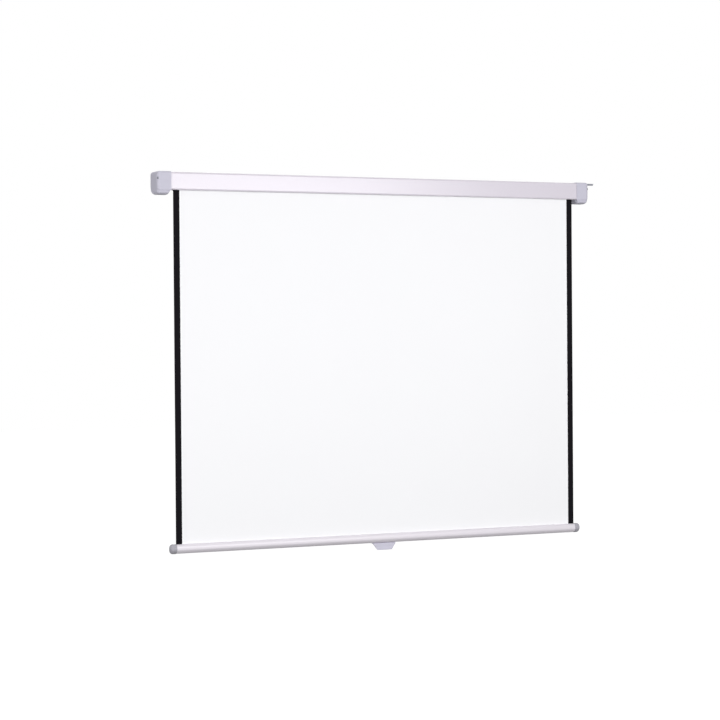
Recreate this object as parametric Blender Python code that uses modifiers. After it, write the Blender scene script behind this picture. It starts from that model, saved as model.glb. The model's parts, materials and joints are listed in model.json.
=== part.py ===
"""Pull-down projection screen with a self-locking spring roller, one object for each piece.

Metres, +Z up. X runs along the case, -Y points at the viewer, and the wall is the plane y = 0.
The origin is on the wall, half way along the case and at the height of the roller's axis.
"""

from math import acos, atan2, copysign, cos, degrees, pi, radians, sin, sqrt

import bmesh
import bpy
from mathutils import Matrix, Vector

# Driving dimensions
FABRIC_WIDTH = 1.800
DROP = 1.380
FABRIC_THICKNESS = 0.0005
GAP = 0.0003

# Roller
ROLLER_DIAMETER = 0.040
ROLLER_WALL = 0.0012
ROLLER_OVERHANG = 0.005
KEYWAY_WIDTH = 0.0060
KEYWAY_DEPTH = 0.0032
WRAPS_THICKNESS = 0.0011

# Case
CASE_ROOM_ABOVE_ROLLER = 0.030
CASE_ROOM_BEHIND_ROLLER = 0.035
CASE_WALL = 0.0010
CASE_FRONT_CORNER = 0.0070
CASE_BACK_CORNER = 0.0030
CASE_MARGIN = 0.014
CAP_OVERLAP = 0.012
FABRIC_SETBACK = 0.0185
SLOT_AHEAD = 0.0090
SLOT_BEHIND = 0.0130
LIP_HEIGHT = 0.0050
LIP_BEND = 0.0015

# End caps
CAP_LENGTH = 0.058
CAP_DRAWN_END = 0.972
CAP_WALL = 0.0022
CAP_CORNER = 0.0090
CAP_END_RADIUS = 0.0130
CAP_LOWER_EDGE = 0.0030
CAP_RIM_BAND = 0.0030
CAP_SHELF = 0.0015
BELLY_DEPTH = 0.0155
BELLY_RISE = 0.0080
BELLY_FULLNESS = 3.2
SEAT_DEPTH = 0.0008
SCREW_HEIGHT = 0.0100
RIB_THICKNESS = 0.0015
STOP_RIB_REACH = 0.0025
END_RIB_DEPTH = 0.0038
END_RIB_SPACING = 0.0180

# Brackets
PLATE_THICKNESS = 0.0020
PLATE_STANDOFF = 0.0030
FLANGE_LENGTH = 0.036
FLANGE_HEIGHT = 0.060
SLOT_SPACING = 0.036
SLOT_WIDTH = 0.0055
SLOT_LENGTH = 0.0110
EAR_WIDTH = 0.040
EAR_HOLE_RADIUS = 0.0032
LEFT_EAR_LENGTH = 0.027
RIGHT_EAR_LENGTH = 0.080
EAR_LIP = 0.0080
TAB_LENGTH = 0.024
TAB_HEIGHT = 0.050
RIVET_SPACING = 0.032
RIVET_RADIUS = 0.0018
ARM_HEIGHT = 0.016

# Ratchet, pawls and their cup
SPINDLE_RADIUS = 0.0045
SPINDLE_FLATS = 0.0072
CUP_STEP = 0.0035
CUP_WALL = 0.0022
CUP_FLOOR = 0.0035
CUP_DEPTH = 0.0120
RATCHET_RADIUS = 0.0095
RATCHET_WIDTH = 0.0075
NOTCHES = 4
NOTCH_DEPTH = 0.0028
NOTCH_GAP = 0.0004
PAWL_LENGTH = 0.0130
PAWL_WIDTH = 0.0055
PAWL_EYE = 0.0031
PAWL_LIFT = 0.0005
PIVOT_RADIUS = 0.0158
PIVOT_ANGLE = radians(130)
PIN_RADIUS = 0.0015
PIN_HEAD = 0.0026
COVER_THICKNESS = 0.0012

# Spring motor
PLUG_LENGTH = 0.030
NOSE_LENGTH = 0.020
SPRING_RADIUS = 0.0122
SPRING_WIRE = 0.0018
SPRING_CURLS = 32
SPRING_LENGTH = 0.230
CURL_POINTS = 8

# Right-hand journal
JOURNAL_RADIUS = 0.0050
BUSH_RADIUS = 0.0080
BUSH_LENGTH = 0.0306
SHANK_RADIUS = 0.0040
CLIP_RADIUS = 0.0078

# Bottom bar
BAR_HEIGHT = 0.037
BAR_DEPTH = 0.030
BAR_WALL = 0.0014
BAR_FULLNESS = 2.6
BAR_KEEL = 0.0155
KEEL_FULLNESS = 1.4
POCKET_RADIUS = 0.0032
POCKET_WALL = 0.0013
POCKET_NECK = 0.0022
POCKET_BELOW_TOP = 0.0066
BEAD_SLOT = 0.0035
PLUG_REACH = 0.0262
PLUG_PROUD = 0.0008
PLUG_ROUNDING = 0.0130
STUB_LENGTH = 0.018

# Pull handle
HANDLE_WIDTH = 0.103
HANDLE_END_WIDTH = 0.068
HANDLE_HEIGHT = 0.029
HANDLE_THICKNESS = 0.0030
HANDLE_LIP = 0.011
HANDLE_SCREW_SPACING = 0.060

# Derived places
HALF_FABRIC = FABRIC_WIDTH / 2
ROLLER_RADIUS = ROLLER_DIAMETER / 2
CASE_HEIGHT = ROLLER_DIAMETER + CASE_ROOM_ABOVE_ROLLER
CASE_DEPTH = ROLLER_DIAMETER + CASE_ROOM_BEHIND_ROLLER
CASE_BOTTOM = -CASE_HEIGHT / 2
TUBE_END = HALF_FABRIC + ROLLER_OVERHANG
CAP_RIM = HALF_FABRIC + CASE_MARGIN
CASE_END = CAP_RIM + CAP_OVERLAP
PLATE_INNER = CASE_END + PLATE_STANDOFF
PLATE_MIDDLE = PLATE_INNER + PLATE_THICKNESS / 2
PLATE_OUTER = PLATE_INNER + PLATE_THICKNESS
CAP_END = CAP_RIM + CAP_LENGTH
CAP_SHIFT = CAP_END - CAP_DRAWN_END
CAP_TOP = CASE_HEIGHT / 2 + GAP + CAP_WALL
CAP_FRONT = -(CASE_DEPTH + GAP + CAP_WALL)

FABRIC_FRONT = -CASE_DEPTH + FABRIC_SETBACK
FABRIC_BACK = FABRIC_FRONT + FABRIC_THICKNESS
WRAPS_RADIUS = ROLLER_RADIUS + GAP + WRAPS_THICKNESS
AXIS_Y = FABRIC_BACK + GAP + WRAPS_RADIUS
AXIS = Vector((0.0, AXIS_Y, 0.0))

TUBE_BORE = ROLLER_RADIUS - ROLLER_WALL
PLUG_RADIUS = TUBE_BORE - GAP
KEYWAY_FLOOR = ROLLER_RADIUS - KEYWAY_DEPTH
SPINDLE_BORE = SPINDLE_RADIUS + GAP
CUP_RADIUS = ROLLER_RADIUS + CUP_STEP
CUP_BORE = CUP_RADIUS - CUP_WALL
FLANGE_START = TUBE_END + GAP
CUP_FLOOR_AT = FLANGE_START + CUP_FLOOR
CUP_END = CUP_FLOOR_AT + CUP_DEPTH
COVER_END = CUP_END + GAP + COVER_THICKNESS
RATCHET_START = CUP_FLOOR_AT + 0.0010
PAWL_START = RATCHET_START + (RATCHET_WIDTH - PAWL_WIDTH) / 2
PLUG_START = FLANGE_START - PLUG_LENGTH
NOSE_START = PLUG_START - NOSE_LENGTH
NOSE_RADIUS = SPRING_RADIUS * cos(pi / CURL_POINTS) - SPRING_WIRE / 2 - GAP
SPRING_OUTER_END = PLUG_START - 0.0025
SPRING_INNER_END = SPRING_OUTER_END - SPRING_LENGTH
COLLAR_START = SPRING_INNER_END - 0.0025
COLLAR_FLANGE = KEYWAY_FLOOR - ROLLER_WALL - 2 * GAP
COLLAR_FLANGE_LENGTH = 0.008
STEADY_GAP = 0.016
STEADY_LENGTH = 0.012
STEADY_END = COLLAR_START - COLLAR_FLANGE_LENGTH - STEADY_GAP
SPINDLE_INNER = STEADY_END - STEADY_LENGTH - 0.004
SPINDLE_OUTER = PLATE_OUTER + 0.008

BAR_TOP = CASE_BOTTOM - DROP
BAR_MIDDLE = BAR_TOP - BAR_HEIGHT / 2
BAR_BOTTOM = BAR_TOP - BAR_HEIGHT
BAR_Y = (FABRIC_FRONT + FABRIC_BACK) / 2
POCKET_Z = BAR_TOP - POCKET_BELOW_TOP
BEAD_RADIUS = POCKET_RADIUS - GAP
FABRIC_LOWER_END = POCKET_Z + BEAD_RADIUS - BEAD_SLOT + GAP

SIDES = (("left", -1), ("right", 1))

# Turns that lay a drawn outline in the section of the case, against the wall, or level
SECTION = (pi / 2, 0.0, pi / 2)
WALL = (pi / 2, 0.0, 0.0)
LEVEL = (0.0, 0.0, 0.0)


def clear_scene():
    for obj in list(bpy.data.objects):
        bpy.data.objects.remove(obj, do_unlink=True)


def new_collection(name):
    collection = bpy.data.collections.new(name)
    bpy.context.scene.collection.children.link(collection)
    return collection


def finish(name, colour, roughness, metallic=0.0):
    """A plain Principled material; colour is linear RGB."""
    material = bpy.data.materials.new(name)
    material.use_nodes = True
    shader = material.node_tree.nodes["Principled BSDF"]
    shader.inputs["Base Color"].default_value = (*colour, 1.0)
    shader.inputs["Roughness"].default_value = roughness
    shader.inputs["Metallic"].default_value = metallic
    material.diffuse_color = (*colour, 1.0)
    return material


clear_scene()
PARTS = new_collection("pull_down_projection_screen")
CUTTERS = new_collection("cutters")

WHITE_STEEL = finish("white_powder_coat", (0.80, 0.79, 0.80), 0.45)
GREY_PLASTIC = finish("grey_moulded_plastic", (0.50, 0.50, 0.58), 0.40)
DARK_GREY_PLASTIC = finish("dark_grey_moulded_plastic", (0.25, 0.25, 0.28), 0.40)
ZINC_STEEL = finish("zinc_plated_steel", (0.36, 0.36, 0.38), 0.38, 1.0)
SPRING_STEEL = finish("oiled_spring_steel", (0.16, 0.16, 0.17), 0.35, 1.0)
GALVANISED = finish("galvanised_tube", (0.52, 0.53, 0.55), 0.42, 1.0)
NYLON = finish("natural_nylon", (0.75, 0.74, 0.68), 0.50)
BLACK_NYLON = finish("black_nylon", (0.03, 0.03, 0.03), 0.50)
MATT_WHITE_FABRIC = finish("matt_white_screen_fabric", (0.90, 0.90, 0.90), 0.90)
WHITE_ALUMINIUM = finish("white_painted_aluminium", (0.80, 0.79, 0.80), 0.38)


def place(name, mesh, material):
    """A piece goes to the parts, a shape without material is a cutter or a guide."""
    obj = bpy.data.objects.new(name, mesh)
    if material is None:
        CUTTERS.objects.link(obj)
        obj.hide_render = True
        obj.display_type = "WIRE"
    else:
        PARTS.objects.link(obj)
        mesh.materials.append(material)
    return obj


def carry(empty, *pieces):
    """Hangs pieces on an empty that stands on their joint's axis."""
    for piece in pieces:
        piece.parent = empty
        piece.location = piece.location - empty.location


def axis_empty(name, location):
    empty = bpy.data.objects.new(name, None)
    empty.empty_display_size = 0.05
    empty.location = location
    PARTS.objects.link(empty)
    return empty


def round_shading(mesh, angle=35):
    mesh.shade_smooth()
    mesh.set_sharp_from_angle(angle=radians(angle))


def settled_mesh(obj):
    """The evaluated shape of an object as a mesh with its seams welded."""
    bpy.context.view_layer.update()
    graph = bpy.context.evaluated_depsgraph_get()
    mesh = bpy.data.meshes.new_from_object(obj.evaluated_get(graph))
    work = bmesh.new()
    work.from_mesh(mesh)
    bmesh.ops.remove_doubles(work, verts=work.verts, dist=1e-6)
    work.to_mesh(mesh)
    work.free()
    round_shading(mesh)
    return mesh


def replace_by_mesh(obj, name, material):
    mesh = settled_mesh(obj)
    mesh.materials.clear()
    settled = place(name, mesh, material)
    settled.matrix_world = obj.matrix_world.copy()
    bpy.data.objects.remove(obj, do_unlink=True)
    return settled


def box(name, low, high, material=None):
    low, high = Vector(low), Vector(high)
    mesh = bpy.data.meshes.new(name)
    work = bmesh.new()
    bmesh.ops.create_cube(work, size=1.0, matrix=Matrix.Diagonal(high - low).to_4x4())
    work.to_mesh(mesh)
    work.free()
    obj = place(name, mesh, material)
    obj.location = (low + high) / 2
    return obj


def rod(name, radius, start, end, material=None, segments=28):
    start, end = Vector(start), Vector(end)
    mesh = bpy.data.meshes.new(name)
    work = bmesh.new()
    bmesh.ops.create_cone(
        work, cap_ends=True, segments=segments, radius1=radius, radius2=radius, depth=(end - start).length
    )
    work.to_mesh(mesh)
    work.free()
    round_shading(mesh)
    obj = place(name, mesh, material)
    obj.location = (start + end) / 2
    obj.rotation_euler = (end - start).to_track_quat("Z", "Y").to_euler()
    return obj


def extrusion(name, outlines, turn, middle, length, material=None):
    """Closed outlines, the first filled and the rest its holes, drawn flat, turned and extruded."""
    curve = bpy.data.curves.new(name, "CURVE")
    curve.dimensions = "2D"
    curve.fill_mode = "BOTH"
    curve.extrude = length / 2
    for outline in outlines:
        spline = curve.splines.new("POLY")
        spline.points.add(len(outline) - 1)
        for point, (across, up) in zip(spline.points, outline):
            point.co = (across, up, 0.0, 1.0)
        spline.use_cyclic_u = True
    drawn = bpy.data.objects.new(name + "_outline", curve)
    bpy.context.scene.collection.objects.link(drawn)
    drawn.location = middle
    drawn.rotation_euler = turn
    return replace_by_mesh(drawn, name, material)


def prism(name, outlines, x_from, x_to, material=None, centre=(0.0, 0.0)):
    """Outlines of (y, z) points extruded along X."""
    middle = ((x_from + x_to) / 2, *centre)
    return extrusion(name, outlines, SECTION, middle, abs(x_to - x_from), material)


def turned(name, profile, origin, direction, material=None, steps=36):
    """A profile of (radius, along) points turned about an axis.

    The points run down the outer side, from the far end of the axis to its start. A profile that
    starts and ends on the axis is a solid, any other is a closed ring.
    """
    mesh = bpy.data.meshes.new(name)
    edges = [(i, i + 1) for i in range(len(profile) - 1)]
    if profile[0][0] > 0.0:
        edges.append((len(profile) - 1, 0))
    mesh.from_pydata([(radius, 0.0, along) for radius, along in profile], edges, [])
    drawn = bpy.data.objects.new(name + "_profile", mesh)
    bpy.context.scene.collection.objects.link(drawn)
    screw = drawn.modifiers.new("Screw", "SCREW")
    screw.axis = "Z"
    screw.angle = 2 * pi
    screw.steps = steps
    screw.render_steps = steps
    screw.use_merge_vertices = True
    screw.merge_threshold = 1e-6
    drawn.location = origin
    drawn.rotation_euler = Vector(direction).to_track_quat("Z", "Y").to_euler()
    return replace_by_mesh(drawn, name, material)


def on_axis(name, profile, side, material=None, steps=36):
    """A turned piece on the roller's axis; along is the distance from the middle of the screen."""
    return turned(name, profile, AXIS, (side, 0, 0), material, steps)


def loft(name, sections, side, material=None, ring=False, close_first=False, close_last=False):
    """Skins a run of sections that go outwards along X; side mirrors it to the left end."""
    mesh = bpy.data.meshes.new(name)
    work = bmesh.new()
    rows = [[work.verts.new((side * x, y, z)) for x, y, z in section] for section in sections]
    for row, following in zip(rows, rows[1:]):
        count = len(row)
        for i in range(count if ring else count - 1):
            j = (i + 1) % count
            work.faces.new((row[i], following[i], following[j], row[j]))
    if close_first:
        work.faces.new(rows[0])
    if close_last:
        work.faces.new(list(reversed(rows[-1])))
    if side < 0:
        bmesh.ops.reverse_faces(work, faces=work.faces)
    work.to_mesh(mesh)
    work.free()
    round_shading(mesh)
    return place(name, mesh, material)


def cut(target, *cutters):
    for cutter in cutters:
        modifier = target.modifiers.new("Cut " + cutter.name, "BOOLEAN")
        modifier.operation = "DIFFERENCE"
        modifier.solver = "EXACT"
        modifier.object = cutter


def join(target, *others):
    for other in others:
        modifier = target.modifiers.new("Join " + other.name, "BOOLEAN")
        modifier.operation = "UNION"
        modifier.solver = "EXACT"
        modifier.object = other


def solidify(obj, thickness, offset=-1.0):
    modifier = obj.modifiers.new("Wall", "SOLIDIFY")
    modifier.thickness = thickness
    modifier.offset = offset
    modifier.use_even_offset = True


def bevel(obj, width, segments=2, angle=40):
    modifier = obj.modifiers.new("Edges", "BEVEL")
    modifier.width = width
    modifier.segments = segments
    modifier.limit_method = "ANGLE"
    modifier.angle_limit = radians(angle)


def arc(centre, radius, start, end, steps):
    """Points on an arc from start to end, both included, angles in radians."""
    return [
        (
            centre[0] + radius * cos(start + (end - start) * i / steps),
            centre[1] + radius * sin(start + (end - start) * i / steps),
        )
        for i in range(steps + 1)
    ]


def rounded_path(corners, steps=5, closed=False):
    """A path through (x, y, radius) corners with each corner replaced by its fillet."""
    path = []
    last = len(corners) - 1
    for i, (x, y, radius) in enumerate(corners):
        here = Vector((x, y))
        if radius == 0.0 or (not closed and i in (0, last)):
            path.append((x, y))
            continue
        before = Vector(corners[i - 1][:2])
        after = Vector(corners[(i + 1) % len(corners)][:2])
        back, ahead = (before - here).normalized(), (after - here).normalized()
        half = back.angle(ahead) / 2
        middle = here + (back + ahead).normalized() * (radius / sin(half))
        first = here + back * (radius / (sin(half) / cos(half)))
        start = atan2(first.y - middle.y, first.x - middle.x)
        sweep = pi - 2 * half
        turn = back.x * ahead.y - back.y * ahead.x
        path += arc(middle, radius, start, start + (sweep if turn < 0 else -sweep), steps)
    return path


def rounded_box(low, high, radius, steps=5):
    """A closed outline of a box with round corners."""
    (x0, y0), (x1, y1) = low, high
    corners = [(x0, y0, radius), (x1, y0, radius), (x1, y1, radius), (x0, y1, radius)]
    return rounded_path(corners, steps, closed=True)


def obround(centre, width, length, steps=8):
    """A slot outline whose length runs along the second coordinate."""
    x, y = centre
    reach = (length - width) / 2
    return arc((x, y + reach), width / 2, 0, pi, steps) + arc((x, y - reach), width / 2, pi, 2 * pi, steps)


def bar_outline(half_depth, half_height, count=44):
    """The bar's section: an upright oval whose front slants back underneath, below its widest line."""
    keel = half_height * BAR_KEEL / (BAR_HEIGHT / 2)
    points = []
    for i in range(count):
        c, s = cos(2 * pi * i / count), sin(2 * pi * i / count)
        power = 2 / (KEEL_FULLNESS if c < 0 and s < 0 else BAR_FULLNESS)
        reach = keel if s < 0 else 2 * half_height - keel
        z = keel - half_height + copysign(reach * abs(s) ** power, s)
        points.append((copysign(half_depth * abs(c) ** power, c), z))
    return points


def double_flat(radius, flats, steps=8):
    """A circle with two flats that face +y and -y, as on the spindle."""
    tilt = acos(flats / 2 / radius)
    return arc((0, 0), radius, tilt, pi - tilt, steps) + arc((0, 0), radius, pi + tilt, 2 * pi - tilt, steps)


# Case


def case_shell():
    front, back = -CASE_DEPTH, 0.0
    top, bottom = CASE_HEIGHT / 2, CASE_BOTTOM
    slot_front, slot_back = FABRIC_FRONT - SLOT_AHEAD, FABRIC_FRONT + SLOT_BEHIND
    path = rounded_path(
        [
            (slot_front, bottom + LIP_HEIGHT, 0.0),
            (slot_front, bottom, LIP_BEND),
            (front, bottom, CASE_FRONT_CORNER),
            (front, top, CASE_FRONT_CORNER),
            (back, top, CASE_BACK_CORNER),
            (back, bottom, CASE_BACK_CORNER),
            (slot_back, bottom, LIP_BEND),
            (slot_back, bottom + LIP_HEIGHT, 0.0),
        ]
    )
    sections = [[(x, y, z) for y, z in path] for x in (-CASE_END, CASE_END)]
    shell = loft("case_shell", sections, 1, WHITE_STEEL)
    solidify(shell, CASE_WALL)
    for side_name, side in SIDES:
        for level, z in rivet_levels():
            x = side * rivet_along()
            hole = rod(f"{side_name}_{level}_case_hole", RIVET_RADIUS + GAP, (x, -0.01, z), (x, 0.01, z))
            cut(shell, hole)
    return shell


def rivet_levels():
    return (("upper", RIVET_SPACING / 2), ("lower", -RIVET_SPACING / 2))


def rivet_along():
    return CASE_END - CAP_OVERLAP + 0.002


def tab_faces():
    """Back and front faces of the tab that lies inside the case's back wall."""
    back = -(CASE_WALL + GAP)
    return back, back - PLATE_THICKNESS


def rivet(name, side, z):
    """Set flush in the case's back wall, with its round head inside on the bracket's tab."""
    head_face = -tab_faces()[1] + GAP
    profile = [
        (0.0, head_face + 0.0014),
        (0.0020, head_face + 0.0011),
        (0.0032, head_face + 0.0004),
        (0.0034, head_face),
        (RIVET_RADIUS, head_face),
        (RIVET_RADIUS, 0.0001),
        (0.0, 0.0001),
    ]
    return turned(name, profile, (side * rivet_along(), 0.0, z), (0, -1, 0), ZINC_STEEL, 14)


# End caps


def cap_outline(inset, belly):
    """One section of a cap's outer face, from the wall under the belly, up the front and over the top."""
    top, front = CAP_TOP - inset, CAP_FRONT + inset
    bottom = CASE_BOTTOM - GAP - CAP_WALL + inset
    corner = max(CAP_CORNER - inset, CAP_WALL + 0.0013)
    upper = [(0.0, top)] + arc((front + corner, top - corner), corner, pi / 2, pi, 5)
    lower = arc((front + CAP_LOWER_EDGE, bottom + CAP_LOWER_EDGE), CAP_LOWER_EDGE, pi, 3 * pi / 2, 3)
    belly_front, belly_back = front + CAP_LOWER_EDGE + CAP_SHELF, -0.0020
    middle, reach = (belly_front + belly_back) / 2, (belly_back - belly_front) / 2
    steps, power = 16, 2 / BELLY_FULLNESS
    under = []
    for i in range(steps + 1):
        c, s = cos(pi * i / steps), sin(pi * i / steps)
        under.append((middle - reach * copysign(abs(c) ** power, c), bottom - belly * abs(s) ** power))
    return list(reversed(upper + lower + under + [(0.0, bottom)]))


def cap_sections():
    """Sections from the rim that slips over the case to the rounded outer end."""
    rise = [CAP_RIM_BAND + BELLY_RISE * share for share in (0.0, 0.15, 0.35, 0.6, 1.0)]
    straight = [0.0] + rise
    sections = []
    for along in straight:
        share = min(max((along - CAP_RIM_BAND) / BELLY_RISE, 0.0), 1.0)
        sections.append((along, 0.0, BELLY_DEPTH * sin(pi / 2 * share)))
    steps = 6
    for i in range(steps + 1):
        t = pi / 2 * i / steps
        along = CAP_LENGTH - CAP_END_RADIUS + CAP_END_RADIUS * sin(t)
        sections.append((along, CAP_END_RADIUS * (1 - cos(t)), BELLY_DEPTH))
    return [
        [(CAP_DRAWN_END - CAP_LENGTH + along, y, z) for y, z in cap_outline(inset, belly)]
        for along, inset, belly in sections
    ]


def cap_corner_axis(side, end=CAP_END):
    """The middle of the rounded front corner, and the direction in which it faces."""
    middle = Vector((side * (end - CAP_END_RADIUS), CAP_FRONT + CAP_END_RADIUS, SCREW_HEIGHT))
    facing = Vector((side, -1, 0)).normalized()
    return middle, facing


def stop_rib(name, side):
    """Runs round a cap's top and front inside, and the end of the case comes up against it."""
    inset = CAP_WALL / 2
    top, front, corner = CAP_TOP - inset, CAP_FRONT + inset, CAP_CORNER - inset
    path = [(front, CASE_BOTTOM + CASE_FRONT_CORNER)]
    path += arc((front + corner, top - corner), corner, pi, pi / 2, 5)
    path.append((-CASE_BACK_CORNER, top))
    start = CASE_END + GAP - CAP_SHIFT
    rib = loft(name, [[(x, y, z) for y, z in path] for x in (start, start + RIB_THICKNESS)], side)
    solidify(rib, inset + STOP_RIB_REACH)
    return rib


def end_ribs(name, side):
    """Upright ribs that stiffen the flat of a cap's end wall."""
    x0, x1 = sorted(side * (CAP_DRAWN_END - CAP_WALL + reach) for reach in (-END_RIB_DEPTH, CAP_WALL / 2))
    low, high = CASE_BOTTOM + 0.001, CAP_TOP - CAP_END_RADIUS - 0.0025
    ribs = []
    for i in (-1, 0, 1):
        y = -CASE_DEPTH / 2 + i * END_RIB_SPACING
        ribs.append(box(f"{name}_{i + 2}", (x0, y - RIB_THICKNESS / 2, low), (x1, y + RIB_THICKNESS / 2, high)))
    return ribs


def end_cap(name, side):
    """Moulded cap, drawn at one fixed place and moved out to its end of the case."""
    drawn = loft(name + "_drawn", cap_sections(), side, close_last=True)
    solidify(drawn, CAP_WALL)
    middle, facing = cap_corner_axis(side, CAP_DRAWN_END)
    seat = middle + facing * (CAP_END_RADIUS - SEAT_DEPTH)
    cut(
        drawn,
        rod(name + "_screw_seat", 0.0052, seat, seat + facing * 0.01),
        rod(name + "_screw_hole", 0.0021, middle, seat + facing * 0.01),
    )
    if side > 0:
        ear_slot(drawn)
    join(drawn, stop_rib(name + "_stop_rib", side), *end_ribs(name + "_end_rib", side))
    cap = replace_by_mesh(drawn, name, GREY_PLASTIC)
    cap.location.x = side * CAP_SHIFT


def cap_screw(name, side):
    """A pan-head screw through the rounded corner into the bracket's slanting tab."""
    middle, facing = cap_corner_axis(side)
    seat = CAP_END_RADIUS - SEAT_DEPTH + GAP
    profile = [
        (0.0, seat + 0.0024),
        (0.0022, seat + 0.0021),
        (0.0038, seat + 0.0012),
        (0.0044, seat),
        (0.0018, seat),
        (0.0018, 0.0045),
        (0.0, 0.0030),
    ]
    return turned(name, profile, middle, facing, ZINC_STEEL, 18)


# Brackets


def arm_path():
    """The bracket's front arm, seen from above: along the front wall, then slanting to the cap screw."""
    facing = Vector((1, -1)).normalized()
    across = Vector((1, 1)).normalized()
    middle = Vector((CAP_END - CAP_END_RADIUS, CAP_FRONT + CAP_END_RADIUS))
    half_tab = 0.0050
    inner_radius = CAP_END_RADIUS - CAP_WALL
    tab = middle + facing * (sqrt(inner_radius**2 - half_tab**2) - 2 * GAP - PLATE_THICKNESS / 2)
    run_y = CAP_FRONT + CAP_WALL + 4 * GAP + PLATE_THICKNESS / 2 + 0.0006
    bend = tab + across * ((run_y - tab.y) / across.y)
    end = tab + across * (half_tab - GAP)
    return [(PLATE_MIDDLE, run_y), tuple(bend), tuple(end)]


def ear_front():
    return -CASE_DEPTH / 2 - EAR_WIDTH / 2


def ear_top():
    return CASE_HEIGHT / 2 - 0.0015 + PLATE_THICKNESS / 2


def bracket(name, side, ear_length, ear_corner):
    """Bent plate: upright with wall flange, ear, tab inside the case and arm for the cap screw."""
    plate_top = CASE_HEIGHT / 2 - 0.0015
    arm = arm_path()
    upright = prism(
        name,
        [rounded_box((arm[0][1], CASE_BOTTOM + 0.004), (-0.0005, plate_top), 0.006)],
        side * PLATE_INNER,
        side * PLATE_OUTER,
        ZINC_STEEL,
    )
    root = side * PLATE_MIDDLE
    flange_end = side * (PLATE_INNER + FLANGE_LENGTH)
    half_flange = FLANGE_HEIGHT / 2
    ear_end = side * (PLATE_MIDDLE + ear_length)
    tab_back, tab_front = tab_faces()
    tab_end = side * (PLATE_MIDDLE - TAB_LENGTH)
    flange = extrusion(
        name + "_flange",
        [free_end(root, flange_end, -half_flange, half_flange, 0.005, 0.005)],
        WALL,
        (0.0, -PLATE_THICKNESS / 2, 0.0),
        PLATE_THICKNESS,
    )
    ear = extrusion(
        name + "_ear",
        [free_end(root, ear_end, ear_front(), ear_front() + EAR_WIDTH, ear_corner, 0.003)],
        LEVEL,
        (0.0, 0.0, ear_top() - PLATE_THICKNESS / 2),
        PLATE_THICKNESS,
    )
    tab = extrusion(
        name + "_tab",
        [free_end(root, tab_end, -TAB_HEIGHT / 2, TAB_HEIGHT / 2, 0.005, 0.005)],
        WALL,
        (0.0, (tab_front + tab_back) / 2, 0.0),
        PLATE_THICKNESS,
    )
    sections = [[(side * x, y, z) for x, y in arm] for z in (0.0, ARM_HEIGHT)]
    reach = loft(name + "_arm", sections, 1)
    reach.location.z = SCREW_HEIGHT - ARM_HEIGHT / 2
    solidify(reach, PLATE_THICKNESS, 0.0)
    join(upright, flange, ear, tab, reach)
    middle, facing = cap_corner_axis(side)
    cut(upright, rod(name + "_screw_hole", 0.0018 + GAP, middle, middle + facing * 0.02))
    slot_x = side * (PLATE_OUTER + FLANGE_LENGTH * 0.5)
    for level, z in (("upper", SLOT_SPACING / 2), ("lower", -SLOT_SPACING / 2)):
        outline = obround((slot_x, z), SLOT_WIDTH, SLOT_LENGTH)
        cut(upright, extrusion(f"{name}_{level}_slot", [outline], WALL, (0.0, 0.0, 0.0), 0.02))
    for level, z in rivet_levels():
        x = side * rivet_along()
        cut(upright, rod(f"{name}_{level}_rivet_hole", RIVET_RADIUS + GAP, (x, -0.01, z), (x, 0.01, z)))
    return upright


def free_end(root, end, low, high, low_corner, high_corner):
    """A plate's outline with square corners at its root and round ones at its free end."""
    corners = [(root, low, 0.0), (end, low, low_corner), (end, high, high_corner), (root, high, 0.0)]
    if end < root:
        corners.reverse()
    return rounded_path(corners, 4, closed=True)


def left_bracket():
    plate = bracket("left_bracket", -1, LEFT_EAR_LENGTH, 0.010)
    slot_width = SPINDLE_FLATS + 2 * GAP
    slot_low = -SPINDLE_RADIUS - GAP
    slot_length = 2 * SPINDLE_RADIUS + 0.005
    slot = prism(
        "spindle_slot",
        [rounded_box((-slot_width / 2, slot_low), (slot_width / 2, slot_low + slot_length), 0.0004, 1)],
        -PLATE_INNER + 0.002,
        -PLATE_OUTER - 0.002,
        centre=(AXIS_Y, 0.0),
    )
    cut(plate, slot)
    return plate


def right_bracket():
    """The one whose ear comes out of the cap, stiffened by a lip turned down along its front."""
    corner = 0.004
    plate = bracket("right_bracket", 1, RIGHT_EAR_LENGTH, corner)
    lip_end = PLATE_MIDDLE + RIGHT_EAR_LENGTH - corner
    low = (PLATE_MIDDLE, ear_front(), ear_top() - EAR_LIP)
    join(plate, box("ear_lip", low, (lip_end, ear_front() + PLATE_THICKNESS, ear_top())))
    x0, x1 = PLATE_INNER - 0.002, PLATE_OUTER + 0.002
    ear_hole_x = PLATE_MIDDLE + RIGHT_EAR_LENGTH - 0.012
    ear_y = -CASE_DEPTH / 2
    cut(
        plate,
        rod("idle_pin_hole", SHANK_RADIUS + GAP, (x0, AXIS_Y, 0), (x1, AXIS_Y, 0)),
        rod("ear_hole", EAR_HOLE_RADIUS, (ear_hole_x, ear_y, 0.02), (ear_hole_x, ear_y, 0.05)),
    )
    return plate


def ear_slot(cap):
    """The opening in the right cap's rounded shoulder through which the ear and its lip come out."""
    inner, outer = CAP_DRAWN_END - CAP_END_RADIUS - 0.004, CAP_DRAWN_END + 0.01
    front, top = ear_front() - GAP, ear_top() + GAP
    plate_low, lip_low = ear_top() - PLATE_THICKNESS - GAP, ear_top() - EAR_LIP - GAP
    cut(
        cap,
        box("ear_slot", (inner, front, plate_low), (outer, ear_front() + EAR_WIDTH + GAP, top)),
        box("ear_lip_slot", (inner, front, lip_low), (outer, front + PLATE_THICKNESS + 2 * GAP, top)),
    )


# Roller


def tube_outline(radius, keyway_half, keyway_floor, steps=44):
    """A circle with a square keyway pressed in at its top."""
    tilt = acos(keyway_half / radius)
    circle = arc((0, 0), radius, pi - tilt, 2 * pi + tilt, steps)
    return circle + [(keyway_half, keyway_floor), (-keyway_half, keyway_floor)]


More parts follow.
